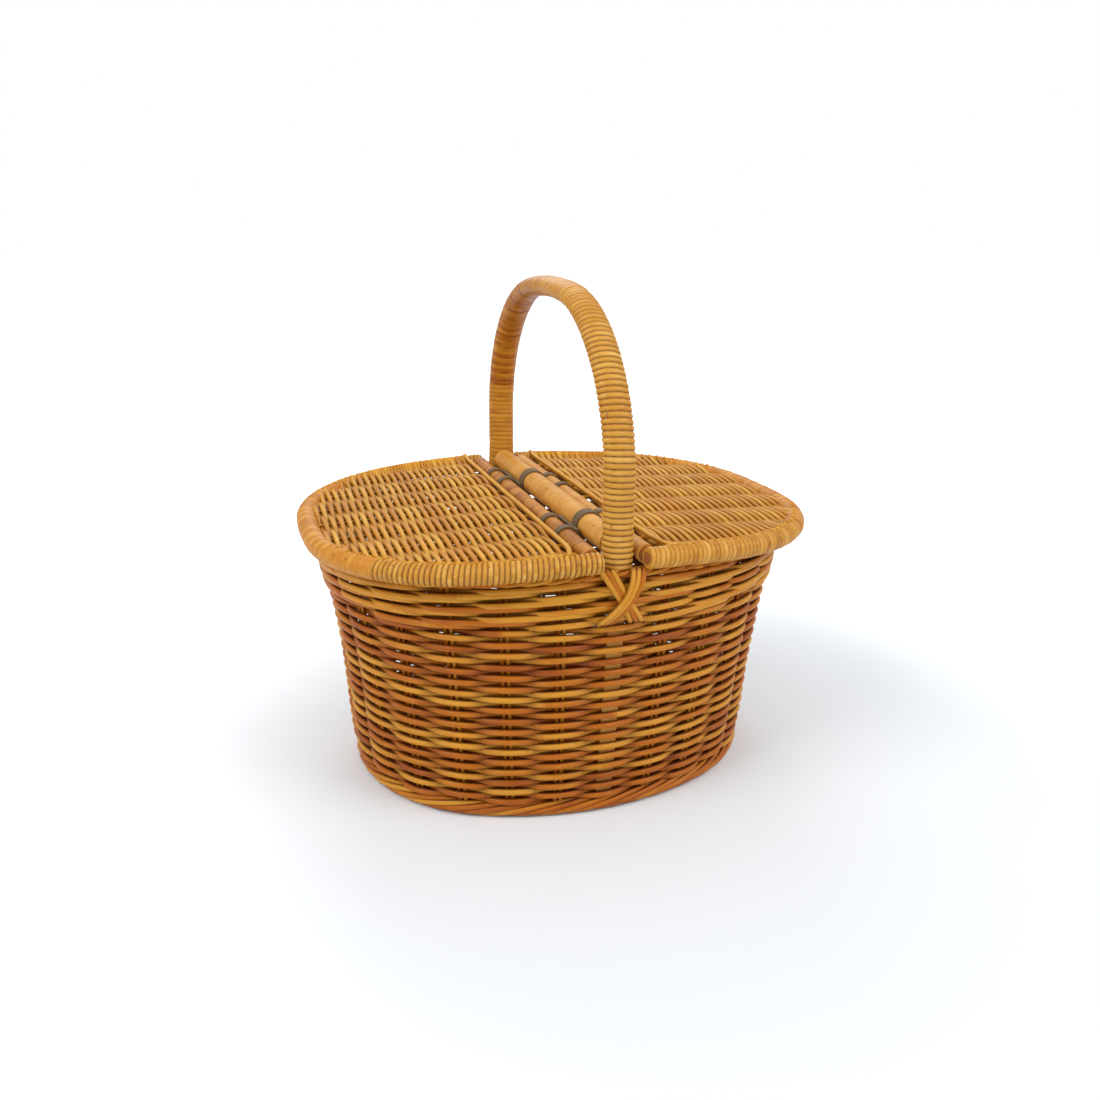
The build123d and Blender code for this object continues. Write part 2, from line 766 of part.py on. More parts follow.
def lid_ribs(side):
    """Rods that run outward from the lid's bar and carry its weave."""
    plane = lid_plane(side, rib_lift)
    start = bar_x + lid_bar_radius + fit_gap
    with BuildPart() as ribs:
        for y in ribs_y:
            origin = plane.from_local_coords((start, y, 0))
            with BuildSketch(Plane(origin=origin, x_dir=plane.y_dir, z_dir=plane.x_dir)):
                Circle(rib_diameter / 2)
            extrude(amount=lid_oval_x(abs(y) + rib_diameter / 2, weave_inset) - start)
    return ribs.part


def lid_weave(side):
    """The woven panel inside a hoop, with channels from below for the ribs."""
    plane = lid_plane(side, -lid_weave_drop)
    arcs = oval_centres(hoop_reach, hoop_half_width, lid_fullness)
    with BuildPart() as panel:
        with BuildSketch(plane):
            with BuildLine():
                oval_outline(hoop_reach, hoop_half_width, lid_fullness, weave_inset)
            make_face()
            with Locations((weave_start - lid_length / 2, 0)):
                Rectangle(lid_length, lid_width, mode=Mode.SUBTRACT)
        extrude(amount=lid_weave_thickness)
        for y in ribs_y:
            with BuildSketch(plane):
                with Locations((lid_length / 2, y)):
                    Rectangle(lid_length, rib_diameter + 2 * fit_gap)
            extrude(amount=lid_weave_drop + rib_lift + rib_diameter / 2 + fit_gap, mode=Mode.SUBTRACT)
    return panel.part


def border_strand(side):
    """The straight strand that closes a lid's weave beside its bar."""
    plane = lid_plane(side, border_lift)
    origin = plane.from_local_coords((border_strand_offset, -bar_half_length, 0))
    with BuildPart() as strand:
        with BuildSketch(Plane(origin=origin, x_dir=plane.x_dir, z_dir=plane.y_dir)):
            Circle(border_strand_diameter / 2)
        extrude(amount=2 * bar_half_length)
    return strand.part


# The two lids, each from its bar outward
for side, name in ((-1, "left"), (1, "right")):
    bar_place = side * lid_bar_offset
    wrap_bore = lid_bar_core_radius + fit_gap
    export(round_bar(bar_place, lid_bar_height, lid_bar_core_radius, 0, bar_half_length), f"{name}_lid_bar")
    export(
        round_bar(bar_place, lid_bar_height, lid_bar_radius, wrap_bore, bar_half_length),
        f"{name}_bar_wrap",
    )
    export(lid_hoop(side), f"{name}_lid_hoop")
    export(edge_wraps(side), f"{name}_edge_wraps")
    export(end_wrap(side), f"{name}_end_wrap")
    export(lid_ribs(side), f"{name}_lid_ribs")
    export(lid_weave(side), f"{name}_lid_weave")
    export(border_strand(side), f"{name}_border_strand")
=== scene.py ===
import math
import bmesh
import bpy
import numpy as np
from mathutils import Matrix, Vector


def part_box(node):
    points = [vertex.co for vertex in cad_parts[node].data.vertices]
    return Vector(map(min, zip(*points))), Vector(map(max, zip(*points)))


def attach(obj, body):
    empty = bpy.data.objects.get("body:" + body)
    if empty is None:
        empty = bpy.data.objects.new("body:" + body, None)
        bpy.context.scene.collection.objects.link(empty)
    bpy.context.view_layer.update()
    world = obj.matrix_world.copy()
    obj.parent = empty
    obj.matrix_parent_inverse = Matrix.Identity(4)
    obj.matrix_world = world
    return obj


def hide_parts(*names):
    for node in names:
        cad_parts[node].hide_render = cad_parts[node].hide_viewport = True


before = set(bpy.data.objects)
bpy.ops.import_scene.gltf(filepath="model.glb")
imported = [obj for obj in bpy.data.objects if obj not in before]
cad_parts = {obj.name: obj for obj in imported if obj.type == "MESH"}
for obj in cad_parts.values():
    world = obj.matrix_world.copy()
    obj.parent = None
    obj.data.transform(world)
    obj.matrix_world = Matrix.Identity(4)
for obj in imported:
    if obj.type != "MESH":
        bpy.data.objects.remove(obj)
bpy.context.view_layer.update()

# A cane picnic basket. Sizes are in millimetres here, and every mesh is made in metres.
scene = bpy.context.scene
milli = 0.001
print("frame loaded:", len(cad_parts), "CAD nodes")

basket = {
    "levels": (0, 40, 100, 155, 192.5),
    "lengths": (327.2, 337.4, 346.0, 363.4, 379.8),
    "widths": (265.0, 276.8, 289.2, 298.8, 303.6),
    "curveOrder": 4,
    "fullness": (1.15, 1.38, 0.92),
    "waistHeight": 100,
    "stakePlaces": 26,
    "rimEnd": 192.5,
    "ridgeReach": 200,
    "seed": 7,
}
lid = {
    "halfLength": 192.0,
    "halfWidth": 155.7,
    "fullness": (3.1, 2.5, 0.81),
    "slope": math.radians(2.2),
    "hoopRadius": 8.0,
    "ridge": 208.18,
    "barOffset": 20.0,
}
fineTurn = np.linspace(-math.pi / 2, 1.5 * math.pi, 2881)
fineQuarter = np.linspace(0, math.pi / 2, 721)
coarseQuarter = np.linspace(0, math.pi / 2, 181)
rimRidge = basket["rimEnd"] + basket["ridgeReach"] * math.tan(lid["slope"])
random = np.random.default_rng(basket["seed"])


# An oval of end, corner and side arcs: points and outward directions at angles from its centre
def ovalAt(halfLength, halfWidth, fullness, angle, inset=0.0):
    angle = np.asarray(angle, float)
    endRadius = fullness[0] * halfWidth
    sideRadius = fullness[1] * halfLength
    cornerRadius = fullness[2] * np.minimum(halfLength, halfWidth)
    endX = halfLength - endRadius
    sideY = halfWidth - sideRadius
    endReach = endRadius - cornerRadius
    sideReach = sideRadius - cornerRadius
    span = np.hypot(endX, sideY)
    along = (endReach**2 - sideReach**2 + span**2) / (2 * span)
    off = np.sqrt(np.maximum(endReach**2 - along**2, 0))
    stepX = -endX / span
    stepY = sideY / span
    cornerX = endX + along * stepX - off * stepY
    cornerY = along * stepY + off * stepX
    wrong = (cornerX < 0) | (cornerY < 0)
    cornerX = np.where(wrong, endX + along * stepX + off * stepY, cornerX)
    cornerY = np.where(wrong, along * stepY - off * stepX, cornerY)
    endTurn = np.arctan2(cornerY, cornerX - endX)
    sideTurn = np.arctan2(cornerY - sideY, cornerX)
    folded = np.arctan2(np.abs(np.sin(angle)), np.abs(np.cos(angle)))

    def onArc(centreX, centreY, radius):
        ahead = centreX * np.cos(folded) + centreY * np.sin(folded)
        across = centreX * np.sin(folded) - centreY * np.cos(folded)
        reach = ahead + np.sqrt(np.maximum(radius**2 - across**2, 0))
        x = reach * np.cos(folded)
        y = reach * np.sin(folded)
        return np.array([x, y, np.arctan2(y - centreY, x - centreX)])

    zero = np.zeros_like(folded)
    spot = onArc(endX + zero, zero, endRadius)
    corner = onArc(cornerX + zero, cornerY + zero, cornerRadius)
    side = onArc(zero, sideY + zero, sideRadius)
    spot = np.where(spot[2] > endTurn, corner, spot)
    spot = np.where((corner[2] > sideTurn) & (spot[2] >= endTurn), side, spot)
    signX = np.where(np.cos(angle) >= 0, 1, -1)
    signY = np.where(np.sin(angle) >= 0, 1, -1)
    normal = np.stack([np.cos(spot[2]) * signX, np.sin(spot[2]) * signY], -1)
    point = np.stack([spot[0] * signX, spot[1] * signY], -1)
    return point - normal * np.asarray(inset)[..., None], normal


lengthCurve = np.polyfit(basket["levels"], basket["lengths"], basket["curveOrder"])
widthCurve = np.polyfit(basket["levels"], basket["widths"], basket["curveOrder"])


def bodyOval(height, angle, inset=0.0):
    halfLength = np.polyval(lengthCurve, height) / 2
    halfWidth = np.polyval(widthCurve, height) / 2
    return ovalAt(halfLength, halfWidth, basket["fullness"], angle, inset)


def lengthAlong(points):
    return np.concatenate([[0], np.cumsum(np.linalg.norm(np.diff(points, axis=0), axis=1))])


waistRun = lengthAlong(bodyOval(basket["waistHeight"], fineTurn)[0])
stakeRun = waistRun / waistRun[-1] * basket["stakePlaces"]


# Angle of a place, which counts stakes round from the near handle leg
def placeAngle(place):
    turns = np.floor(np.asarray(place, float) / basket["stakePlaces"])
    rest = place - turns * basket["stakePlaces"]
    return np.interp(rest, stakeRun, fineTurn) + turns * 2 * math.pi


def pointsAt(x, y, z):
    return np.stack(np.broadcast_arrays(x, y, z), -1)


# Points on the basket's side and their outward directions
def bodyAt(height, place, inset=0.0):
    spot, normal = bodyOval(height, placeAngle(place), inset)
    return pointsAt(*spot.T, height), pointsAt(*normal.T, 0)


def rimHeight(x):
    return rimRidge - np.abs(x) * math.tan(lid["slope"])


# A point on a lid's plane: x out from the handle, y across, lift above the hoop's centre
def lidAt(side, x, y, lift):
    level, climb = math.cos(lid["slope"]), math.sin(lid["slope"])
    return pointsAt(side * (x * level + lift * climb), y, lid["ridge"] - x * climb + lift * level)


def lidUp(side):
    return np.array([side * math.sin(lid["slope"]), 0, math.cos(lid["slope"])])


def lidOval(angles):
    return ovalAt(lid["halfLength"], lid["halfWidth"], lid["fullness"], angles)[0]


# Half of the width inside a lid's oval at a distance out from the handle
def lidReach(x):
    spots = lidOval(fineQuarter)
    return np.interp(x, spots[::-1, 0], spots[::-1, 1])


def ramp(value, start, end):
    return np.clip((value - start) / (end - start), 0, 1)


# Rises from 0 to 1 over the last stretch before either end of a strand
def edgeRamp(reach, y, stretch):
    return np.clip(1 - (reach - np.abs(y)) / stretch, 0, 1)


def eased(share):
    return share * share * (3 - 2 * share)


# Tones for one long rod, which changes shade where a new length was laid in
laid = {"shortest": 3, "spread": 0.35}


def toneRuns(count, meanRun, tones):
    shades = np.zeros(count)
    at = 0
    while at < count:
        run = max(laid["shortest"], int(random.normal(meanRun, meanRun * laid["spread"])))
        shades[at:at + run] = random.uniform(*tones)
        at += run
    return np.roll(shades, random.integers(count))


# A run's depth value adds painted shade with grime where it dips behind or lies under other parts
def makeRun(points, thick, tone, outward=(0, 0, 1), depth=0.0, groove=0.0, closed=False):
    count = len(points)

    def spread(value):
        return np.broadcast_to(np.asarray(value, float), (count,))

    return {
        "points": np.asarray(points, float),
        "thick": spread(thick) * milli,
        "tone": spread(tone),
        "depth": spread(depth),
        "groove": spread(groove) * milli,
        "outward": np.broadcast_to(np.asarray(outward, float), (count, 3)),
        "closed": closed,
    }


def addObject(name, data):
    made = bpy.data.objects.new(name, data)
    scene.collection.objects.link(made)
    return made


# Centrelines as one mesh of edges, with what the trees read stored at its points
def runMesh(name, runs):
    starts = np.cumsum([0] + [len(run["points"]) for run in runs])
    edges = []
    for run, start in zip(runs, starts):
        count = len(run["points"])
        edges += [(start + i, start + i + 1) for i in range(count - 1)]
        if run["closed"]:
            edges.append((start + count - 1, start))
    points = np.concatenate([run["points"] for run in runs]) * milli
    mesh = bpy.data.meshes.new(name)
    mesh.from_pydata(points.tolist(), edges, [])
    for key in ("thick", "tone", "depth", "groove"):
        values = np.concatenate([run[key] for run in runs]).astype(np.float32)
        mesh.attributes.new(key, "FLOAT", "POINT").data.foreach_set("value", values)
    outward = np.concatenate([run["outward"] for run in runs]).astype(np.float32)
    stored = mesh.attributes.new("outward", "FLOAT_VECTOR", "POINT")
    stored.data.foreach_set("vector", outward.ravel())
    return addObject(name, mesh)


# Node helpers: a value that is a socket is linked, any other is set
def fillInputs(tree, node, inputs):
    for key, value in inputs.items():
        if isinstance(value, bpy.types.NodeSocket):
            tree.links.new(value, node.inputs[key])
        else:
            node.inputs[key].default_value = value


# Adds a node and gives its outputs
def addNode(tree, kind, inputs=(), **settings):
    made = tree.nodes.new(kind)
    for key, value in settings.items():
        setattr(made, key, value)
    fillInputs(tree, made, dict(inputs))
    return made.outputs


# Adds a node of which only the first output is used
def calc(tree, kind, inputs=(), **settings):
    return addNode(tree, kind, inputs, **settings)[0]


def maths(tree, operation, *values):
    return calc(tree, "ShaderNodeMath", dict(enumerate(values)), operation=operation)


# Output 0 is a vector and output 1 a single value
def vectorMaths(tree, operation, *values, output=0):
    inputs = dict(enumerate(values))
    return addNode(tree, "ShaderNodeVectorMath", inputs, operation=operation)[output]


def scaled(tree, vector, factor):
    return calc(tree, "ShaderNodeVectorMath", {0: vector, "Scale": factor}, operation="SCALE")


def joined(tree, *values):
    return calc(tree, "ShaderNodeCombineXYZ", dict(enumerate(values)))


def mapRange(tree, value, start, end, low=0.0, high=1.0, kind="LINEAR"):
    inputs = {"Value": value, 1: start, 2: end, 3: low, 4: high}
    return calc(tree, "ShaderNodeMapRange", inputs, interpolation_type=kind)


def readNamed(tree, name, kind="FLOAT"):
    return calc(tree, "GeometryNodeInputNamedAttribute", {"Name": name}, data_type=kind)


def storeNamed(tree, geometry, name, value, kind="FLOAT"):
    inputs = {"Geometry": geometry, "Name": name, "Value": value}
    return calc(tree, "GeometryNodeStoreNamedAttribute", inputs, data_type=kind, domain="POINT")


def startTree(name, kind, ins, outs):
    tree = bpy.data.node_groups.new(name, kind)
    for title, socket, value in ins:
        made = tree.interface.new_socket(name=title, in_out="INPUT", socket_type=socket)
        if value is not None:
            made.default_value = value
    for title, socket in outs:
        tree.interface.new_socket(name=title, in_out="OUTPUT", socket_type=socket)
    given = tree.nodes.new("NodeGroupInput").outputs
    return tree, given, tree.nodes.new("NodeGroupOutput").inputs


# The end that both trees share: crevice values for grime and painted shade, grain values, smooth
# faces, material
def endTree(tree, mesh, crevice, given, out):
    around = readNamed(tree, "turnAt", "FLOAT_VECTOR")
    parts = addNode(tree, "ShaderNodeSeparateXYZ", {0: around})
    run = maths(tree, "ADD", readNamed(tree, "runLength"), readNamed(tree, "tone"))
    grain = joined(tree, run, parts[0], parts[1])
    mesh = storeNamed(tree, mesh, "grainSpace", grain, "FLOAT_VECTOR")
    mesh = storeNamed(tree, mesh, "crevice", crevice)
    mesh = calc(tree, "GeometryNodeSetShadeSmooth", {"Geometry": mesh})
    mesh = calc(tree, "GeometryNodeRealizeInstances", {"Geometry": mesh})
    inputs = {"Geometry": mesh, "Material": given["Material"]}
    tree.links.new(calc(tree, "GeometryNodeSetMaterial", inputs), out["Geometry"])


def sweepRuns(tree, curve, sides, oval=None):
    length = addNode(tree, "GeometryNodeSplineParameter")["Length"]
    curve = storeNamed(tree, curve, "runLength", length)
    ring = calc(tree, "GeometryNodeCurvePrimitiveCircle", {"Resolution": sides, "Radius": 1.0})
    turnAt = calc(tree, "GeometryNodeInputPosition")
    ring = storeNamed(tree, ring, "turnAt", turnAt, "FLOAT_VECTOR")
    if oval:
        ring = calc(tree, "GeometryNodeTransform", {"Geometry": ring, "Scale": oval})
    inputs = {
        "Curve": curve, "Profile Curve": ring, "Scale": readNamed(tree, "thick"),
        "Fill Caps": True,
    }
    return calc(tree, "GeometryNodeCurveToMesh", inputs)


# Round rods along centrelines, a little uneven in their path and thickness
def makeRodTree():
    tree, given, out = startTree("rods along lines", "GeometryNodeTree", [
        ("Geometry", "NodeSocketGeometry", None),
        ("Sides", "NodeSocketInt", 8),
        ("Wander", "NodeSocketFloat", 0.0003),
        ("Wander scale", "NodeSocketFloat", 28.0),
        ("Unevenness", "NodeSocketFloat", 0.1),
        ("Seed", "NodeSocketFloat", 1.0),
        ("Material", "NodeSocketMaterial", None),
    ], [("Geometry", "NodeSocketGeometry")])
    place = calc(tree, "GeometryNodeInputPosition")
    inputs = {"Vector": place, "W": given["Seed"], "Scale": given["Wander scale"], "Detail": 1.0}
    noise = addNode(tree, "ShaderNodeTexNoise", inputs, noise_dimensions="4D")
    centred = vectorMaths(tree, "SUBTRACT", noise["Color"], (0.5, 0.5, 0.5))
    inputs = {"Geometry": given["Geometry"], "Offset": scaled(tree, centred, given["Wander"])}
    lines = calc(tree, "GeometryNodeSetPosition", inputs)
    offMiddle = maths(tree, "SUBTRACT", noise[0], 0.5)
    swell = maths(tree, "MULTIPLY_ADD", offMiddle, given["Unevenness"], 1.0)
    thick = maths(tree, "MULTIPLY", readNamed(tree, "thick"), swell)
    lines = storeNamed(tree, lines, "thick", thick)
    curve = calc(tree, "GeometryNodeMeshToCurve", {"Mesh": lines})
    mesh = sweepRuns(tree, curve, given["Sides"])
    # Painted shade with grime: the sides of a rod that face its neighbours, plus its depth value,
    # darken it through the crevice mask
    normal = calc(tree, "GeometryNodeInputNormal")
    outward = readNamed(tree, "outward", "FLOAT_VECTOR")
    facing = maths(tree, "ABSOLUTE", vectorMaths(tree, "DOT_PRODUCT", normal, outward, output=1))
    sideways = maths(tree, "POWER", maths(tree, "SUBTRACT", 1.0, facing), 2.0)
    endTree(tree, mesh, maths(tree, "ADD", sideways, readNamed(tree, "depth")), given, out)
    return tree


crease = {"sharpness": 0.85, "darkFrom": 0.0, "darkAt": 0.0013, "toneSeed": 7}


# A bar bound with touching turns: grooves follow a helix whose pitch is given
def makeWindingTree():
    tree, given, out = startTree("wound binding", "GeometryNodeTree", [
        ("Geometry", "NodeSocketGeometry", None),
        ("Sides", "NodeSocketInt", 24),
        ("Width share", "NodeSocketFloat", 1.0),
        ("Depth share", "NodeSocketFloat", 1.0),
        ("Pitch", "NodeSocketFloat", 0.004),
        ("Steps per turn", "NodeSocketFloat", 10.0),
        ("Tone spread", "NodeSocketFloat", 0.6),
        ("Height spread", "NodeSocketFloat", 0.0002),
        ("Seed", "NodeSocketInt", 1),
        ("Material", "NodeSocketMaterial", None),
    ], [("Geometry", "NodeSocketGeometry")])
    curve = calc(tree, "GeometryNodeMeshToCurve", {"Mesh": given["Geometry"]})
    step = maths(tree, "DIVIDE", given["Pitch"], given["Steps per turn"])
    inputs = {"Curve": curve, "Length": step}
    curve = calc(tree, "GeometryNodeResampleCurve", inputs, mode="LENGTH")
    oval = joined(tree, given["Width share"], given["Depth share"], 1.0)
    mesh = sweepRuns(tree, curve, given["Sides"], oval)
    turnAt = readNamed(tree, "turnAt", "FLOAT_VECTOR")
    around = addNode(tree, "ShaderNodeSeparateXYZ", {0: turnAt})
    share = maths(tree, "DIVIDE", maths(tree, "ARCTAN2", around[1], around[0]), 2 * math.pi)
    turns = maths(tree, "DIVIDE", readNamed(tree, "runLength"), given["Pitch"])
    phase = maths(tree, "ADD", turns, share)
    across = maths(tree, "MULTIPLY_ADD", maths(tree, "FRACT", phase), 2.0, -1.0)
    rest = maths(tree, "SUBTRACT", 1.0, maths(tree, "MULTIPLY", across, across))
    bulge = maths(tree, "SQRT", maths(tree, "MAXIMUM", rest, 0.0))
    hollow = maths(tree, "SUBTRACT", 1.0, bulge)
    turn = maths(tree, "FLOOR", phase)

    def perTurn(seedStep):
        seed = maths(tree, "ADD", given["Seed"], float(seedStep))
        inputs = {2: -0.5, 3: 0.5, "ID": turn, "Seed": seed}
        return addNode(tree, "FunctionNodeRandomValue", inputs, data_type="FLOAT")[1]

    groove = readNamed(tree, "groove")
    dip = maths(tree, "MULTIPLY", maths(tree, "ADD", perTurn(0), 0.5), given["Height spread"])
    low = maths(tree, "ADD", maths(tree, "MULTIPLY", groove, hollow), dip)
    normal = calc(tree, "GeometryNodeInputNormal")
    push = scaled(tree, normal, maths(tree, "MULTIPLY", low, -1.0))
    mesh = calc(tree, "GeometryNodeSetPosition", {"Geometry": mesh, "Offset": push})
    change = perTurn(crease["toneSeed"])
    tone = maths(tree, "MULTIPLY_ADD", change, given["Tone spread"], readNamed(tree, "tone"))
    mesh = storeNamed(tree, mesh, "tone", tone)
    # Painted shade with grime in the grooves between turns, fainter where a groove is shallow, plus
    # the depth value
    darkness = mapRange(tree, readNamed(tree, "groove"), crease["darkFrom"], crease["darkAt"])
    crevice = maths(tree, "POWER", hollow, crease["sharpness"])
    crevice = maths(tree, "MULTIPLY", crevice, darkness)
    endTree(tree, mesh, maths(tree, "ADD", crevice, readNamed(tree, "depth")), given, out)
    return tree


rodTree = makeRodTree()
windingTree = makeWindingTree()


# Runs a piece's tree on its centrelines and keeps a plain mesh that rides on a body. A piece
# that comes on both sides has a seed for each
def finishPiece(name, runs, piece, body, stands, side=0):
    made = runMesh(name, runs)
    tree, values = (rodTree, piece["rods"]) if "rods" in piece else (windingTree, piece["winding"])
    values = dict(values, Seed=values["Seed"] + side, Material=canes[piece["cane"]])
    modifier = made.modifiers.new("build", "NODES")
    modifier.node_group = tree
    for item in tree.interface.items_tree:
        if item.in_out == "INPUT" and item.name in values:
            modifier[item.identifier] = values[item.name]
    graph = bpy.context.evaluated_depsgraph_get()
    mesh = bpy.data.meshes.new_from_object(
        made.evaluated_get(graph), preserve_all_data_layers=True, depsgraph=graph
    )
    made.modifiers.remove(modifier)
    made.data = mesh
    mesh.name = name
    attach(made, body)
    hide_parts(*stands)
    size = [round(v / milli, 1) for v in made.dimensions]
    print(name, "faces:", len(mesh.polygons), "size:", size)


def toLinear(colour):
    linear = [((c / 255 + 0.055) / 1.055) ** 2.4 if c > 10 else c / 255 / 12.92 for c in colour]
    return tuple(linear) + (1.0,)


grainLook = {
    "blotchScale": (42.0, 0.6, 0.6), "markScale": (190.0, 2.2, 2.2),
    "markFrom": 0.70, "markTo": 0.78,
}


# Cane fibre: long streaks, broad blotches and rare dark marks
def makeGrainGroup():
    tree, given, out = startTree("cane grain", "ShaderNodeTree", [
        ("Vector", "NodeSocketVector", None),
        ("Along", "NodeSocketFloat", 20.0),
        ("Around", "NodeSocketFloat", 3.0),
    ], [(name, "NodeSocketFloat") for name in ("Streak", "Blotch", "Marks")])

    def noiseAt(scale, **details):
        place = vectorMaths(tree, "MULTIPLY", given["Vector"], scale)
        inputs = dict(details, Vector=place, Scale=1.0)
        return calc(tree, "ShaderNodeTexNoise", inputs)

    streakScale = joined(tree, given["Along"], given["Around"], given["Around"])
    spots = noiseAt(grainLook["markScale"], Detail=1.0)
    marks = mapRange(tree, spots, grainLook["markFrom"], grainLook["markTo"])
    tree.links.new(noiseAt(streakScale, Detail=4.0, Roughness=0.6), out["Streak"])
    tree.links.new(noiseAt(grainLook["blotchScale"], Detail=2.0), out["Blotch"])
    tree.links.new(marks, out["Marks"])
    return tree


def mixColours(tree, factor, first, second):
    return addNode(tree, "ShaderNodeMix", {0: factor, 6: first, 7: second}, data_type="RGBA")[2]


tintLook = {"blotchAmount": 0.7, "markAmount": 0.6, "grimeAndShadeFrom": 0.12, "grimeAndShadeTo": 0.85}


# Colour of one rod from its tone, darkened in the crevices by grime and painted shade
def makeTintGroup():
    values = ("Tone", "Streak", "Blotch", "Marks", "Crevice", "Streak amount", "Grime and shade amount")
    ins = [(name, "NodeSocketFloat", 0.5) for name in values]
    ins += [(name, "NodeSocketColor", None) for name in ("Light", "Body", "Deep", "Grime and shade")]
    outs = [("Color", "NodeSocketColor"), ("Grime and shade mask", "NodeSocketFloat")]
    tree, given, out = startTree("cane tint", "ShaderNodeTree", ins, outs)
    streak = maths(tree, "SUBTRACT", given["Streak"], 0.5)
    blotch = maths(tree, "SUBTRACT", given["Blotch"], 0.5)
    shade = maths(tree, "MULTIPLY_ADD", streak, given["Streak amount"], given["Tone"])
    shade = maths(tree, "MULTIPLY_ADD", blotch, tintLook["blotchAmount"], shade)
    lower = mapRange(tree, shade, 0.0, 0.5, kind="SMOOTHSTEP")
    upper = mapRange(tree, shade, 0.5, 1.0, kind="SMOOTHSTEP")
    colour = mixColours(tree, lower, given["Deep"], given["Body"])
    colour = mixColours(tree, upper, colour, given["Light"])
    marks = maths(tree, "MULTIPLY", given["Marks"], tintLook["markAmount"])
    colour = mixColours(tree, marks, colour, given["Deep"])
    # Crevice darkening: grime together with painted shade where rods meet, dip behind others and
    # sit in grooves
    grimeAndShade = mapRange(tree, given["Crevice"], tintLook["grimeAndShadeFrom"], tintLook["grimeAndShadeTo"])
    grimeAndShade = maths(tree, "MULTIPLY", grimeAndShade, given["Grime and shade amount"])
    tree.links.new(mixColours(tree, grimeAndShade, colour, given["Grime and shade"]), out["Color"])
    tree.links.new(grimeAndShade, out["Grime and shade mask"])
    return tree


grainGroup = makeGrainGroup()
tintGroup = makeTintGroup()


finish = {"streakGloss": 0.25, "baseGloss": -0.12, "grimeAndShadeGloss": 0.3, "bumpReach": 0.0004}
objectToneScale = 30.0


# Cane in one finish. Swept pieces read their own grain space; other meshes, which have a turn
# in their look, read Object coordinates
def makeCane(name, look):
    material = bpy.data.materials.new(name)
    material.use_nodes = True
    tree = material.node_tree
    surface = tree.nodes["Principled BSDF"]
    if "turn" in look:
        place = addNode(tree, "ShaderNodeTexCoord")["Object"]
        inputs = {"Vector": place, "Rotation": look["turn"]}
        place = calc(tree, "ShaderNodeMapping", inputs, vector_type="POINT")
        tone = calc(tree, "ShaderNodeTexNoise", {"Vector": place, "Scale": objectToneScale})
        crevice = 0.0
    else:
        place = addNode(tree, "ShaderNodeAttribute", attribute_name="grainSpace")["Vector"]
        tone = addNode(tree, "ShaderNodeAttribute", attribute_name="tone")["Fac"]
        crevice = addNode(tree, "ShaderNodeAttribute", attribute_name="crevice")["Fac"]
    inputs = {"Vector": place, "Along": look["along"], "Around": look["around"]}
    grain = addNode(tree, "ShaderNodeGroup", inputs, node_tree=grainGroup)
    tint = addNode(tree, "ShaderNodeGroup", {
        "Tone": tone, "Crevice": crevice,
        "Streak": grain["Streak"], "Blotch": grain["Blotch"], "Marks": grain["Marks"],
        "Streak amount": look["streaks"], "Grime and shade amount": look["grimeAndShadeAmount"],
        "Light": toLinear(look["light"]), "Body": toLinear(look["body"]),
        "Deep": toLinear(look["deep"]), "Grime and shade": toLinear(look["grimeAndShade"]),
    }, node_tree=tintGroup)
    base = look["roughness"] + finish["baseGloss"]
    gloss = maths(tree, "MULTIPLY_ADD", grain["Streak"], finish["streakGloss"], base)
    gloss = maths(tree, "MULTIPLY_ADD", tint["Grime and shade mask"], finish["grimeAndShadeGloss"], gloss)
    inputs = {
        "Strength": look["bump"], "Distance": finish["bumpReach"], "Height": grain["Streak"],
    }
    bump = calc(tree, "ShaderNodeBump", inputs)
    fillInputs(tree, surface, {
        "Base Color": tint["Color"], "Roughness": gloss, "Normal": bump,
        "Specular IOR Level": look["specular"],
    })
    return material


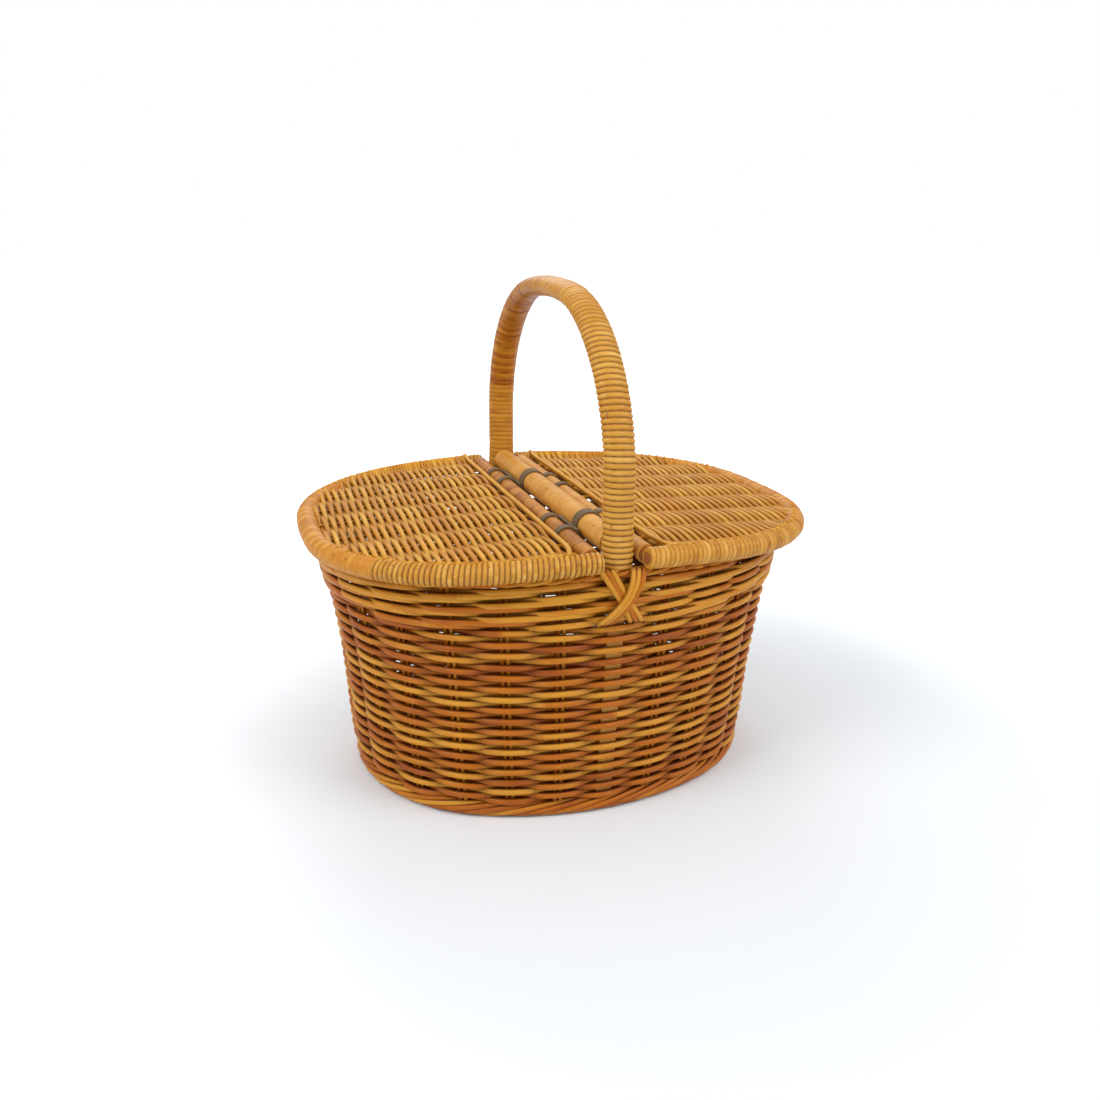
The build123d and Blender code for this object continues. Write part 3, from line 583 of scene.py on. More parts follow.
# The crevice colour of each look is grime together with painted shade, the colour gaps between rods
# are darkened to
caneLook = {
    "light": (232, 172, 76), "body": (200, 126, 32), "deep": (146, 72, 8), "grimeAndShade": (48, 20, 2),
    "along": 25.0, "around": 2.6, "streaks": 0.45, "grimeAndShadeAmount": 0.9,
    "roughness": 0.4, "bump": 0.25, "specular": 0.26,
}
looks = {
    "wallCane": {
        "light": (212, 146, 42), "body": (184, 101, 8), "deep": (137, 56, 3),
        "grimeAndShade": (66, 20, 0),
    },
    "lidCane": {
        "light": (226, 170, 56), "body": (204, 136, 26), "deep": (168, 98, 10),
        "grimeAndShade": (90, 42, 2), "grimeAndShadeAmount": 0.62,
    },
    "handleCane": {
        "light": (230, 178, 84), "body": (204, 142, 46), "deep": (150, 78, 12),
        "grimeAndShade": (104, 54, 8), "along": 300.0, "around": 0.7, "grimeAndShadeAmount": 0.95,
        "roughness": 0.36, "specular": 0.3,
    },
    "peelCane": {
        "light": (224, 164, 66), "body": (200, 128, 34), "deep": (148, 74, 8),
        "grimeAndShade": (92, 44, 4), "along": 420.0, "around": 0.6, "streaks": 0.9,
        "grimeAndShadeAmount": 0.6, "bump": 0.35,
    },
    "barPeel": {
        "light": (224, 166, 76), "body": (200, 134, 48), "deep": (146, 76, 20),
        "along": 300.0, "around": 0.7, "streaks": 0.8, "grimeAndShadeAmount": 0.22, "roughness": 0.45,
    },
    "coreRod": {
        "turn": (0, 0, math.pi / 2),
        "light": (200, 146, 84), "body": (160, 100, 50), "deep": (104, 56, 26),
        "along": 30.0, "around": 600.0, "grimeAndShadeAmount": 0.0,
    },
    "paleRod": {
        "turn": (0, math.pi / 2, 0),
        "light": (232, 186, 108), "body": (212, 150, 70), "deep": (170, 104, 36),
        "along": 30.0, "around": 600.0, "grimeAndShadeAmount": 0.0,
    },
    "strapPeel": {
        "turn": (0, 0, 0),
        "light": (150, 128, 96), "body": (116, 94, 66), "deep": (84, 64, 42),
        "along": 60.0, "around": 900.0, "streaks": 1.0, "grimeAndShadeAmount": 0.0,
        "roughness": 0.6, "specular": 0.3,
    },
}
canes = {name: makeCane(name, dict(caneLook, **look)) for name, look in looks.items()}
print("materials ready")

camera = {
    "place": (-252.291, -738.205, 421.745),
    "azimuth": math.radians(-18.884),
    "elevation": math.radians(18.124),
    "roll": math.radians(0.496),
    "focalPixels": 994.094,
    "pictureSide": 1100,
    "sensor": 36.0,
    "clipStart": 0.01,
}


# The camera as it was fitted to the photograph
def makeCamera():
    turn, rise, roll = camera["azimuth"], camera["elevation"], camera["roll"]
    right = Vector((math.cos(turn), math.sin(turn), 0))
    level = math.cos(rise)
    back = Vector((math.sin(turn) * level, -math.cos(turn) * level, math.sin(rise)))
    up = back.cross(right)
    tilted = right * math.cos(roll) + up * math.sin(roll)
    raised = up * math.cos(roll) - right * math.sin(roll)
    data = bpy.data.cameras.new("photoCamera")
    data.sensor_width = camera["sensor"]
    data.lens = camera["focalPixels"] / camera["pictureSide"] * camera["sensor"]
    data.clip_start = camera["clipStart"]
    columns = Matrix((tilted, raised, back)).transposed().to_4x4()
    scene.camera = addObject("photoCamera", data)
    scene.camera.matrix_world = Matrix.Translation(Vector(camera["place"]) * milli) @ columns


# Lamps and floor are in metres
lamps = {
    "key": {"place": (1.1, -1.2, 1.6), "side": 1.1, "power": 17.0},
    "fill": {"place": (-1.3, -0.5, 1.4), "side": 0.9, "power": 13.0},
    "back": {"place": (0.3, 1.7, 1.5), "side": 1.2, "power": 8.0},
}
studio = {
    "aim": (0.0, 0.0, 0.15), "skyStrength": 0.62,
    "floorReach": 14.0, "floorColour": (0.85, 0.89, 0.93, 1),
    "floorRoughness": 0.9, "floorSpecular": 0.1,
    # Painted floor glow, and the centre of the painted shadow patch it leaves
    "glow": (0.02, 0.6), "shadowPatchCentre": (0.09, -0.13, 0.0), "glowFrom": 0.24, "glowTo": 0.72,
}


def makeLamp(name, lamp):
    data = bpy.data.lights.new(name, "AREA")
    data.size = lamp["side"]
    data.energy = lamp["power"]
    place = Vector(lamp["place"])
    facing = (place - Vector(studio["aim"])).to_track_quat("Z", "Y").to_matrix().to_4x4()
    addObject(name, data).matrix_world = Matrix.Translation(place) @ facing


# White surroundings and a pale floor with a camera-only painted glow that grows away from the
# basket, weakest round a centre off to the front right, leaving a painted shadow patch there
def makeStudio():
    world = bpy.data.worlds.new("studio")
    world.use_nodes = True
    scene.world = world
    tree = world.node_tree
    seen = addNode(tree, "ShaderNodeLightPath")["Is Camera Ray"]
    strength = mapRange(tree, seen, 0.0, 1.0, studio["skyStrength"], 1.0)
    fillInputs(tree, tree.nodes["Background"], {"Color": (1, 1, 1, 1), "Strength": strength})
    mesh = bpy.data.meshes.new("studioFloor")
    reach = studio["floorReach"]
    corners = [(-reach, -reach, 0), (reach, -reach, 0), (reach, reach, 0), (-reach, reach, 0)]
    mesh.from_pydata(corners, [], [(0, 1, 2, 3)])
    floor = addObject("studioFloor", mesh)
    paint = bpy.data.materials.new("paleFloor")
    paint.use_nodes = True
    tree = paint.node_tree
    place = addNode(tree, "ShaderNodeTexCoord")["Object"]
    place = vectorMaths(tree, "SUBTRACT", place, studio["shadowPatchCentre"])
    away = vectorMaths(tree, "LENGTH", place, output=1)
    stretch = (studio["glowFrom"], studio["glowTo"])
    rising = mapRange(tree, away, *stretch, *studio["glow"], kind="SMOOTHSTEP")
    seen = addNode(tree, "ShaderNodeLightPath")["Is Camera Ray"]
    fillInputs(tree, tree.nodes["Principled BSDF"], {
        "Base Color": studio["floorColour"], "Roughness": studio["floorRoughness"],
        "Specular IOR Level": studio["floorSpecular"], "Emission Color": (1, 1, 1, 1),
        "Emission Strength": maths(tree, "MULTIPLY", seen, rising),
    })
    mesh.materials.append(paint)
    scene.view_settings.view_transform = "Standard"


makeCamera()
for name, lamp in lamps.items():
    makeLamp(name, lamp)
makeStudio()
print("camera and studio ready")

wall = {
    "cane": "wallCane",
    "rodRadius": 2.58, "low": 14.7, "high": 158.0, "rowPitch": 4.4, "pointsPerPlace": 8,
    "middle": 6.1, "swing": 3.6, "flatten": 0.8, "sag": 1.7,
    "drift": 0.3, "driftWaves": (2, 5), "driftStart": (0, 6),
    "lengthInPlaces": 14, "tones": (0.25, 1.0), "shade": 0.4, "shadeSharpness": 1.5,
    "rods": {"Sides": 8, "Wander": 0.0011, "Unevenness": 0.35, "Seed": 3.0},
}


# Rows of rod over one stake and under the next, a little lower where they pass behind
def makeWallWeave():
    runs = []
    count = basket["stakePlaces"] * wall["pointsPerPlace"]
    places = np.arange(count) / wall["pointsPerPlace"]
    turn = 2 * math.pi * places / basket["stakePlaces"]
    rows = int((wall["high"] - wall["low"]) / wall["rowPitch"]) + 1
    for row in range(rows):
        wave = np.cos(math.pi * (places + row))
        shaped = np.sign(wave) * np.abs(wave) ** wall["flatten"]
        inset = wall["middle"] - wall["swing"] * shaped
        waves = random.integers(*wall["driftWaves"])
        drift = wall["drift"] * np.sin(turn * waves + random.uniform(*wall["driftStart"]))
        height = wall["low"] + row * wall["rowPitch"] + drift * (row > 0)
        height = height - wall["sag"] * (1 - shaped) / 2 * (row > 0)
        points, outward = bodyAt(height, places, inset)
        meanRun = wall["lengthInPlaces"] * wall["pointsPerPlace"]
        tones = toneRuns(count, meanRun, wall["tones"])
        depth = wall["shade"] * (1 - np.abs(wave)) ** wall["shadeSharpness"]
        runs.append(makeRun(points, wall["rodRadius"], tones, outward, depth, closed=True))
    finishPiece("wallWeave", runs, wall, "basket", ["wall_weave"])


stakes = {
    "cane": "wallCane",
    "radius": 1.75, "apart": 4.2, "low": 9, "high": 184, "belowRim": 6, "steps": 12,
    "tones": (0.3, 0.9), "shade": 0.1,
    "rods": {"Sides": 8, "Wander": 0.0008, "Unevenness": 0.2, "Seed": 5.0},
}


# A pair of thin reeds at each place, except at the handle's legs
def makeStakes():
    runs = []
    steps = stakes["steps"]
    for place in range(basket["stakePlaces"]):
        if place % (basket["stakePlaces"] // 2) == 0:
            continue
        heights = np.linspace(stakes["low"], stakes["high"], steps)
        points, outward = bodyAt(heights, np.full(steps, float(place)), wall["middle"])
        acrossWay = np.stack([-outward[:, 1], outward[:, 0], outward[:, 2]], -1)
        top = rimHeight(points[-1, 0]) - stakes["belowRim"]
        points[:, 2] = np.linspace(stakes["low"], top, steps)
        for shift in (-0.5, 0.5):
            shifted = points + acrossWay * shift * stakes["apart"]
            tone = random.uniform(*stakes["tones"])
            runs.append(makeRun(shifted, stakes["radius"], tone, outward, stakes["shade"]))
    finishPiece("wallStakes", runs, stakes, "basket", ["wall_stakes"])


wale = {
    "cane": "wallCane",
    "rodRadius": 2.66, "low": 160.4, "topDrop": 9.0, "level": 175.0, "rows": 9, "stroke": 3,
    "pointsPerPlace": 8, "front": 1.45, "behind": 9.0, "climb": 1.8, "sag": 1.7,
    "duckReach": 0.8, "duckStretch": 0.6, "lengthInPlaces": 9, "tones": (0.25, 1.0), "shade": 0.4,
    "rods": {"Sides": 8, "Wander": 0.0011, "Unevenness": 0.3, "Seed": 8.0},
}


# Thicker rods that go in front of two stakes and behind the next, each row one stake on
def makeWale():
    runs = []
    total = basket["stakePlaces"]
    places = np.arange(total * wale["pointsPerPlace"]) / wale["pointsPerPlace"]
    rough, _ = bodyAt(np.full(len(places), wale["level"]), places)
    top = rimHeight(rough[:, 0]) - wale["topDrop"]
    for row in range(wale["rows"]):
        ducks = np.sort((row + np.arange(0, total + 1, wale["stroke"])) % total).astype(float)
        ducks = np.concatenate([[ducks[-1] - total], ducks, [ducks[0] + total]])
        index = np.searchsorted(ducks, places, side="right") - 1
        before, after = ducks[index], ducks[index + 1]
        near = np.minimum(places - before, after - places)
        behind = eased(np.clip((wale["duckReach"] - near) / wale["duckStretch"], 0, 1))
        climbed = (2 * (places - before) / (after - before) - 1) * (1 - behind)
        height = wale["low"] + row / (wale["rows"] - 1) * (top - wale["low"])
        height = height + climbed * wale["climb"] - behind * wale["sag"]
        inset = wale["front"] + (wale["behind"] - wale["front"]) * behind
        points, outward = bodyAt(height, places, inset)
        meanRun = wale["lengthInPlaces"] * wale["pointsPerPlace"]
        tones = toneRuns(len(places), meanRun, wale["tones"])
        depth = wale["shade"] * behind
        runs.append(makeRun(points, wale["rodRadius"], tones, outward, depth, closed=True))
    finishPiece("waleBand", runs, wale, "basket", ["rim_wale"])


rope = {"steps": 520, "lengthsRound": 6, "tones": (0.2, 0.95)}


# A border rope: strands that twist round a level oval line
def ropeRuns(border, line):
    runs = []
    steps = rope["steps"]
    places = np.linspace(0, basket["stakePlaces"], steps, endpoint=False)
    turned = places / basket["stakePlaces"] * border["turns"]
    for strand in range(border["strands"]):
        twist = 2 * math.pi * (turned + strand / border["strands"])
        outBy = border["halfX"] * np.cos(twist)
        points, outward = line(places, outBy, border["halfZ"] * np.sin(twist))
        tones = toneRuns(steps, steps / rope["lengthsRound"], rope["tones"])
        runs.append(makeRun(points, border["radius"], tones, outward, closed=True))
    return runs


foot = {
    "cane": "wallCane", "strands": 6, "turns": 7, "inset": 5.6, "middle": 6.6, "radius": 2.25,
    "halfX": 3.5, "halfZ": 4.2, "rods": {"Sides": 8, "Wander": 0.0003, "Seed": 9.0},
}
rim = {
    "cane": "wallCane", "strands": 5, "turns": 15, "inset": 5.4, "level": 190.0, "drop": 4.0,
    "radius": 1.9, "halfX": 4.5, "halfZ": 2.0, "rods": {"Sides": 8, "Wander": 0.0002, "Seed": 10.0},
}


def makeBorders():
    def footLine(places, outBy, upBy):
        return bodyAt(foot["middle"] + upBy, places, foot["inset"] - outBy)

    def rimLine(places, outBy, upBy):
        level = np.full(len(places), rim["level"])
        points, outward = bodyAt(level, places, rim["inset"] - outBy)
        points[:, 2] = rimHeight(points[:, 0]) - rim["drop"] + upBy
        return points, outward

    footRuns = ropeRuns(foot, footLine)
    finishPiece("footBorder", footRuns, foot, "basket", ["foot_border"])
    rimRuns = ropeRuns(rim, rimLine)
    finishPiece("rimBorder", rimRuns, rim, "basket", ["rim_border"])


base = {
    "cane": "wallCane",
    "rodRadius": 2.0, "pitch": 4.3, "middle": 9.0, "swing": 2.2, "inset": 10.5, "steps": 90,
    "tones": (0.2, 0.9), "shade": 0.3,
    "rods": {"Sides": 8, "Wander": 0.0006, "Seed": 12.0},
}
sticks = {
    "cane": "wallCane",
    "over": 9, "overApart": 30.0, "overRadius": 2.1, "overSteps": 20, "overTones": (0.4, 0.9),
    "under": 5, "underApart": 38.0, "underRadius": 2.3, "underSteps": 30, "underZ": 3.2,
    "underTones": (0.3, 0.8), "rods": {"Sides": 10, "Wander": 0.0003, "Seed": 13.0},
}


# A woven oval floor on short sticks, with long sticks under it
def makeBase():
    edge, _ = bodyOval(foot["middle"] * 2, coarseQuarter, base["inset"])

    def reachX(y):
        return np.interp(abs(y), edge[:, 1], edge[:, 0])

    def reachY(x):
        return np.interp(abs(x), edge[::-1, 0], edge[::-1, 1])

    runs = []
    rows = int(2 * edge[-1, 1] / base["pitch"])
    for row in range(rows):
        y = (row - (rows - 1) / 2) * base["pitch"]
        x = np.linspace(-reachX(y), reachX(y), base["steps"])
        wave = np.cos(math.pi * (x / sticks["overApart"] + row))
        height = base["middle"] + base["swing"] * wave
        tone = random.uniform(*base["tones"])
        depth = base["shade"] * (1 - abs(wave))
        runs.append(makeRun(pointsAt(x, y, height), base["rodRadius"], tone, depth=depth))
    finishPiece("baseWeave", runs, base, "basket", ["base_panel"])
    runs = []
    for stick in range(sticks["over"]):
        x = (stick - (sticks["over"] - 1) / 2) * sticks["overApart"]
        y = np.linspace(-reachY(x), reachY(x), sticks["overSteps"])
        points = pointsAt(x, y, base["middle"])
        runs.append(makeRun(points, sticks["overRadius"], random.uniform(*sticks["overTones"])))
    for stick in range(sticks["under"]):
        y = (stick - (sticks["under"] - 1) / 2) * sticks["underApart"]
        x = np.linspace(-reachX(y), reachX(y), sticks["underSteps"])
        points = pointsAt(x, y, sticks["underZ"])
        runs.append(makeRun(points, sticks["underRadius"], random.uniform(*sticks["underTones"])))
    finishPiece("baseSticks", runs, sticks, "basket", ["base_sticks"])


makeWallWeave()
makeStakes()
makeWale()
makeBorders()
makeBase()
print("basket body ready")

handle = {
    "cane": "handleCane",
    "halfWidth": 142.8, "low": 193.0, "cornerZ": 257.15, "cornerY": 25.6, "cornerRadius": 117.2,
    "topZ": 31.4, "topRadius": 344.4, "topSteps": 20, "arch": math.radians(83.53),
    "radius": 10.4, "step": 2.0, "apexLift": 1.4, "liftZ": (320, 370),
    # footShade is painted shade on the lowest stretch of both legs
    "flare": 1.2, "flareZ": (225, 205), "footShade": 0.12, "footShadeZ": (218, 196),
    "grooveShares": (0, 0.27, 0.36, 0.44, 0.58, 0.75, 0.92, 1),
    "grooves": (1.65, 1.5, 0.95, 0.3, 0.15, 0.3, 0.65, 0.3),
    # Tone from the near leg's foot to the far leg's foot: it drops over the apex, where the lower
    # tone is painted shade, and is lowest on the far side
    "toneShares": (0, 0.3, 0.45, 0.6, 0.8, 1),
    "tones": (0.66, 0.6, 0.48, 0.2, 0.28, 0.5),
    "winding": {
        "Sides": 26, "Width share": 1.125, "Depth share": 0.75, "Pitch": 0.0041,
        "Steps per turn": 9.0, "Tone spread": 0.22, "Height spread": 0.0003, "Seed": 4,
    },
}


# The handle's centreline from the near leg, over the arch, to the far leg
def handleLine(low, step):
    corner = handle["arch"]
    legRise = np.arange(low, handle["cornerZ"], step)
    leg = pointsAt(0.0, -handle["halfWidth"], legRise)
    turn = np.linspace(math.pi, math.pi - corner, int(corner * handle["cornerRadius"] / step))
    bend = pointsAt(
        0.0, -handle["cornerY"] + handle["cornerRadius"] * np.cos(turn),
        handle["cornerZ"] + handle["cornerRadius"] * np.sin(turn),
    )
    half = math.pi / 2 - corner
    turn = np.linspace(math.pi / 2 + half, math.pi / 2, handle["topSteps"], endpoint=False)[1:]
    top = pointsAt(
        0.0, handle["topRadius"] * np.cos(turn),
        handle["topZ"] + handle["topRadius"] * np.sin(turn),
    )
    near = np.concatenate([leg, bend, top])
    apex = [[0.0, 0.0, handle["topZ"] + handle["topRadius"]]]
    return np.concatenate([near, apex, near[::-1] * (1, -1, 1)])


# Round cane on the near leg that turns into flat peel over the top and down the far leg
def makeHandle():
    line = handleLine(handle["low"], handle["step"])
    along = lengthAlong(line)
    share = along / along[-1]
    groove = np.interp(share, handle["grooveShares"], handle["grooves"])
    tone = np.interp(share, handle["toneShares"], handle["tones"])
    flare = handle["flare"] * ramp(line[:, 2], *handle["flareZ"]) ** 2 * (line[:, 1] > 0)
    line[:, 2] += handle["apexLift"] * ramp(line[:, 2], *handle["liftZ"]) ** 2
    depth = handle["footShade"] * ramp(line[:, 2], *handle["footShadeZ"])
    runs = [makeRun(line, handle["radius"] + flare, tone, depth=depth, groove=groove)]
    stands = ["handle_wrap", "near_leg_winding"]
    finishPiece("handleWinding", runs, handle, "basket", stands)


legs = {
    "levels": (14, 60, 100, 150, 162, 170, 180, 192, 215),
    "halfAcross": (6.5, 6.5, 6.5, 6.5, 6.5, 6.5, 6.2, 5.6, 5.0),
    "halfThick": (1.8, 1.8, 1.8, 1.8, 1.9, 3.0, 4.4, 5.0, 5.0),
    "sides": 24, "coreRadius": 5.0, "archGap": 2, "archStep": 6.0,
    "wallTop": 192.0, "blendZ": (150, 192), "flatPower": 0.45, "roundPower": 0.55,
}


def bent(wave, power):
    return np.sign(wave) * np.abs(wave) ** power


# Rings of one shaved leg: a flat oval between the weavers that grows round under the winding
def legRings(side, turn):
    rings = []
    for height, across, thick in zip(legs["levels"], legs["halfAcross"], legs["halfThick"]):
        middle = bodyAt(min(height, legs["wallTop"]), 0.0, wall["middle"])[0][1]
        blend = ramp(height, *legs["blendZ"])
        y = side * (abs(middle) * (1 - blend) + handle["halfWidth"] * blend)
        power = legs["flatPower"] + legs["roundPower"] * np.clip(thick / across, 0, 1)
        outX = across * bent(np.cos(turn), power)
        rings.append(pointsAt(outX, y + thick * bent(np.sin(turn), power), height))
    return rings


def makeCore():
    count = legs["sides"]
    turn = np.linspace(0, 2 * math.pi, count, endpoint=False)
    arch = handleLine(legs["levels"][-1] + legs["archGap"], legs["archStep"])
    rings = legRings(-1, turn)
    for i in range(1, len(arch) - 1):
        way = arch[i + 1] - arch[i - 1]
        way = way / np.linalg.norm(way)
        inward = np.array([0, way[2], -way[1]])
        ring = np.outer(np.cos(turn), [1, 0, 0]) + np.outer(np.sin(turn), inward)
        rings.append(arch[i] + legs["coreRadius"] * ring)
    mirrored = (-np.arange(count)) % count
    rings += [ring[mirrored] for ring in legRings(1, turn)[::-1]]
    vertices = (np.concatenate(rings) * milli).tolist()
    faces = []
    for low in range(0, (len(rings) - 1) * count, count):
        for i in range(count):
            j = (i + 1) % count
            faces.append((low + i, low + j, low + count + j, low + count + i))
    last = (len(rings) - 1) * count
    faces.append(tuple(range(count))[::-1])
    faces.append(tuple(range(last, last + count)))
    mesh = bpy.data.meshes.new("handleCore")
    mesh.from_pydata(vertices, [], faces)
    mesh.shade_smooth()
    made = addObject("handleCore", mesh)
    turnOutward(mesh)
    mesh.materials.append(canes["paleRod"])
    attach(made, "basket")
    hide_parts("handle_core")


def turnOutward(mesh):
    work = bmesh.new()
    work.from_mesh(mesh)
    bmesh.ops.recalc_face_normals(work, faces=work.faces)
    work.to_mesh(mesh)
    work.free()


lashing = {
    "cane": "wallCane",
    "strands": 3, "radius": 2.0, "pitch": 4.1, "spread": 12.0, "foot": 161.0, "head": 200.5,
    "clear": 3.1, "bow": 3.9, "bowSharpness": 0.7, "sideBow": 4.0, "steps": 17,
    "gathered": 0.72, "loose": 0.28, "tuck": 2.6, "tones": (0.5, 1.0),
    "rods": {"Sides": 10, "Wander": 0.0004, "Unevenness": 0.15, "Seed": 15.0},
}


# Two groups of strands that cross over the wale in front of each leg
def makeLashing(side, name):
    runs = []
    steps = lashing["steps"]
    share = np.linspace(0, 1, steps)
    fromMiddle = 2 * share - 1
    height = lashing["foot"] + share * (lashing["head"] - lashing["foot"])
    wallY = np.polyval(widthCurve, np.minimum(height, basket["rimEnd"])) / 2
    gather = lashing["gathered"] + lashing["loose"] * np.abs(fromMiddle)
    tuck = lashing["tuck"] * np.abs(fromMiddle) ** 4
    for lean, lift in ((side, 0.0), (-side, lashing["bow"])):
        for strand in range(lashing["strands"]):
            offset = strand - (lashing["strands"] - 1) / 2
            x = lean * lashing["spread"] * fromMiddle + offset * lashing["pitch"] * gather
            x = x - side * lashing["sideBow"] * np.sin(math.pi * share) * (lift > 0)
            bow = lift * np.sin(math.pi * share) ** lashing["bowSharpness"]
            y = side * (wallY + lashing["clear"] + bow - tuck)
            tone = random.uniform(*lashing["tones"])
            points = pointsAt(x, y, height)
            runs.append(makeRun(points, lashing["radius"], tone, (0, side, 0)))
    stands = [f"{name}_lashing"]
    finishPiece(f"{name}Lashing", runs, lashing, "basket", stands, side)


# A straight bar's binding, from one end of its reach to the other
def barRun(bar, x, tone):
    y = np.linspace(-bar["reach"], bar["reach"], bar["steps"])
    points = pointsAt(x, y, bar["height"])
    return [makeRun(points, bar["radius"], tone, groove=bar["groove"])]


centreBar = {
    "cane": "barPeel",
    "height": 213.01, "radius": 9.5, "reach": 133.0, "steps": 60, "groove": 0.22, "tone": 0.72,
    "winding": {
        "Sides": 36, "Pitch": 0.019, "Steps per turn": 24.0, "Tone spread": 0.16,
        "Height spread": 0.0001, "Seed": 21,
    },
}


def makeCentreBar():
    runs = barRun(centreBar, 0.0, centreBar["tone"])
    finishPiece("centreBarWrap", runs, centreBar, "basket", ["centre_bar_wrap"])


makeHandle()
makeCore()
makeLashing(-1, "near")
makeLashing(1, "far")
makeCentreBar()
print("handle ready")

weave = {
    "cane": "lidCane",
    "radius": 2.12, "pitch": 2.9, "start": 35.0, "stop": 186.0, "swing": 2.3, "lift": 2.0,
    "pointsPerRib": 8, "endGap": 0.5, "overHoop": 6.9, "rise": 9.0,
    "tones": (0.3, 0.9), "shade": 0.35,
    "rods": {"Sides": 8, "Wander": 0.0009, "Unevenness": 0.3, "Seed": 30.0},
}
ribs = {
    "cane": "lidCane",
    "each": 3, "apart": 39.0, "radius": 1.6, "start": 26.0, "endGap": 6, "steps": 30,
    "tones": (0.4, 0.9), "rods": {"Sides": 8, "Wander": 0.0004, "Seed": 33.0},
}


# Strands over and under the ribs, which rise over the hoop at both ends
def makeLidWeave(side, name):
    runs = []
    for strand in range(int((weave["stop"] - weave["start"]) / weave["pitch"])):
        x = weave["start"] + strand * weave["pitch"]
        reach = lidReach(x) - weave["endGap"]
        steps = int(2 * reach / ribs["apart"] * weave["pointsPerRib"])
        y = np.linspace(-reach, reach, steps)
        wave = np.cos(math.pi * (y / ribs["apart"] + strand))
        nearEdge = eased(edgeRamp(reach, y, weave["rise"]))
        lift = weave["lift"] + weave["swing"] * wave
        lift = lift * (1 - nearEdge) + weave["overHoop"] * nearEdge
        tone = random.uniform(*weave["tones"])
        depth = weave["shade"] * (1 - np.abs(wave)) * (1 - nearEdge)
        points = lidAt(side, x, y, lift)
        runs.append(makeRun(points, weave["radius"], tone, lidUp(side), depth))
    stands = [f"{name}_lid_weave"]
    finishPiece(f"{name}LidWeave", runs, weave, f"{name}_lid", stands, side)


def makeLidRibs(side, name):
    runs = []
    spots = lidOval(coarseQuarter)
    for rib in range(-ribs["each"], ribs["each"] + 1):
        y = rib * ribs["apart"]
        outer = np.interp(abs(y), spots[:, 1], spots[:, 0])
        x = np.linspace(ribs["start"], outer - ribs["endGap"], ribs["steps"])
        tone = random.uniform(*ribs["tones"])
        runs.append(makeRun(lidAt(side, x, y, weave["lift"]), ribs["radius"], tone, lidUp(side)))
    stands = [f"{name}_lid_ribs"]
    finishPiece(f"{name}LidRibs", runs, ribs, f"{name}_lid", stands, side)


hoop = {"skin": 0.05, "splitShare": 0.6}
edgeWrap = {
    "cane": "handleCane",
    "start": 16.3, "groove": {"left": 1.6, "right": 0.85}, "tone": 0.55, "steps": 120,
    "tipSteps": 3.0, "tipThick": 0.86, "tipGain": 0.14,
    "winding": {
        "Sides": 18, "Pitch": 0.0036, "Steps per turn": 9.0, "Tone spread": 0.4,
        "Height spread": 0.0004, "Seed": 41,
    },
}
endWrap = {
    "cane": "peelCane", "groove": 0.4, "tone": 0.6, "steps": 160,
    "winding": {
        "Sides": 20, "Pitch": 0.0048, "Steps per turn": 10.0, "Tone spread": 0.4,
        "Height spread": 0.0003, "Seed": 51,
    },
}


# Corner of the hoop where the round wraps end and the flat peel begins, as the CAD has it
def hoopSplit(name):
    low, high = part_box(f"{name}_end_wrap")
    inner = min(abs(low.x), abs(high.x)) / milli + lid["hoopRadius"] * hoop["splitShare"]
    return fineQuarter[int(np.argmin(np.abs(lidOval(fineQuarter)[:, 0] - inner)))]


def makeHoopWraps(side, name):
    split = hoopSplit(name)
    radius = lid["hoopRadius"] - hoop["skin"]
    steps = edgeWrap["steps"]
    startAngle = math.acos(edgeWrap["start"] / math.hypot(edgeWrap["start"], lid["halfWidth"]))
    spots = lidOval(np.linspace(startAngle, split, steps))
    tip = np.clip(np.arange(steps) / edgeWrap["tipSteps"], 0, 1)
    rounding = np.sqrt(1 - (1 - tip) ** 2)
    thick = radius * (edgeWrap["tipThick"] + edgeWrap["tipGain"] * rounding)
    runs = []
    for way in (-1, 1):
        points = lidAt(side, spots[:, 0], way * spots[:, 1], 0.0)
        groove = edgeWrap["groove"][name]
        runs.append(makeRun(points, thick, edgeWrap["tone"], groove=groove))
    stands = [f"{name}_edge_wraps"]
    finishPiece(f"{name}EdgeWraps", runs, edgeWrap, f"{name}_lid", stands, side)
    spots = lidOval(np.linspace(-split, split, endWrap["steps"]))
    points = lidAt(side, spots[:, 0], spots[:, 1], 0.0)
    runs = [makeRun(points, radius, endWrap["tone"], groove=endWrap["groove"])]
    stands = [f"{name}_end_wrap"]
    finishPiece(f"{name}EndWrap", runs, endWrap, f"{name}_lid", stands, side)


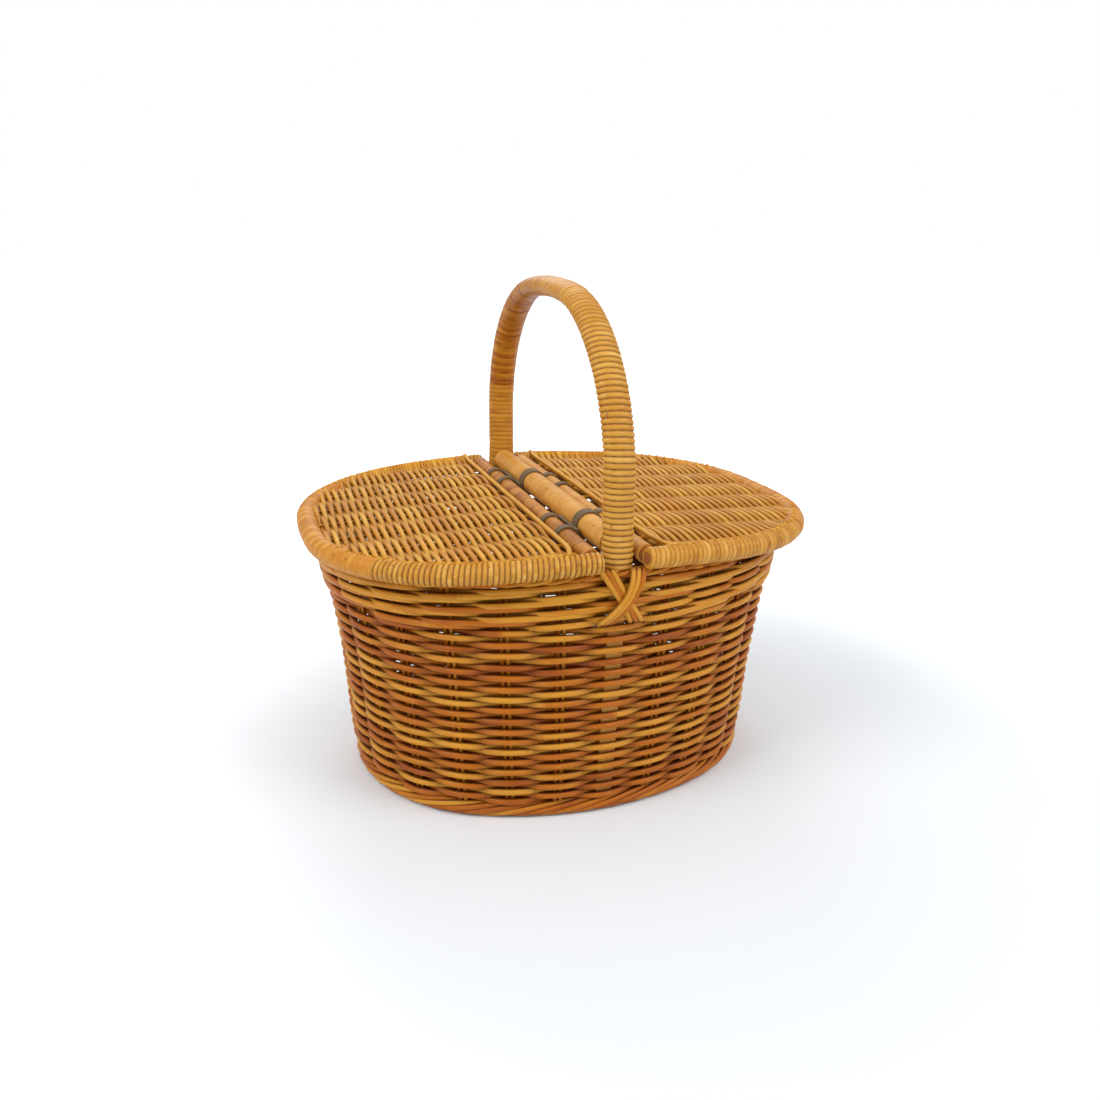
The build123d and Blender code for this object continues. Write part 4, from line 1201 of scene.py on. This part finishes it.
barWrap = {
    "cane": "barPeel", "radius": 7.0, "height": 207.41, "reach": 146.0, "steps": 60, "groove": 0.22,
    "tone": {"left": 0.3, "right": 0.66},
    "winding": {
        "Sides": 30, "Pitch": 0.013, "Steps per turn": 18.0, "Tone spread": 0.2,
        "Height spread": 0.0001, "Seed": 61,
    },
}


def makeLidBar(side, name):
    runs = barRun(barWrap, side * lid["barOffset"], barWrap["tone"][name])
    stands = [f"{name}_bar_wrap"]
    finishPiece(f"{name}BarWrap", runs, barWrap, f"{name}_lid", stands, side)


borderStrand = {
    "cane": "lidCane",
    "offset": 32.0, "radius": 1.95, "tone": 0.75, "steps": 70, "lift": 6.1, "endLift": 1.6,
    "liftStretch": 12, "bend": 7.0, "bendStretch": 30,
    "rods": {"Sides": 10, "Wander": 0.0006, "Seed": 71.0},
}


# The rod along the weave's inner edge, which bends outward at its near end
def makeBorderStrand(side, name):
    reach = lidReach(borderStrand["offset"])
    y = np.linspace(-reach, reach, borderStrand["steps"])
    rise = borderStrand["endLift"] * edgeRamp(reach, y, borderStrand["liftStretch"]) ** 2
    bend = borderStrand["bend"] * edgeRamp(reach, y, borderStrand["bendStretch"]) ** 2 * (y < 0)
    points = lidAt(side, borderStrand["offset"] + bend, y, borderStrand["lift"] + rise)
    runs = [makeRun(points, borderStrand["radius"], borderStrand["tone"], lidUp(side))]
    stands = [f"{name}_border_strand"]
    finishPiece(f"{name}BorderStrand", runs, borderStrand, f"{name}_lid", stands, side)


for side, name in ((-1, "left"), (1, "right")):
    makeLidWeave(side, name)
    makeLidRibs(side, name)
    makeHoopWraps(side, name)
    makeLidBar(side, name)
    makeBorderStrand(side, name)
print("lids ready")

# CAD nodes that are shown as they are
kept = {
    "centre_bar": "coreRod",
    "near_hinge_strap": "strapPeel",
    "far_hinge_strap": "strapPeel",
    "left_lid_bar": "coreRod",
    "right_lid_bar": "coreRod",
    "left_lid_hoop": "coreRod",
    "right_lid_hoop": "coreRod",
}
for node, cane in kept.items():
    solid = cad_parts[node]
    solid.data.materials.clear()
    solid.data.materials.append(canes[cane])

print("scene ready")
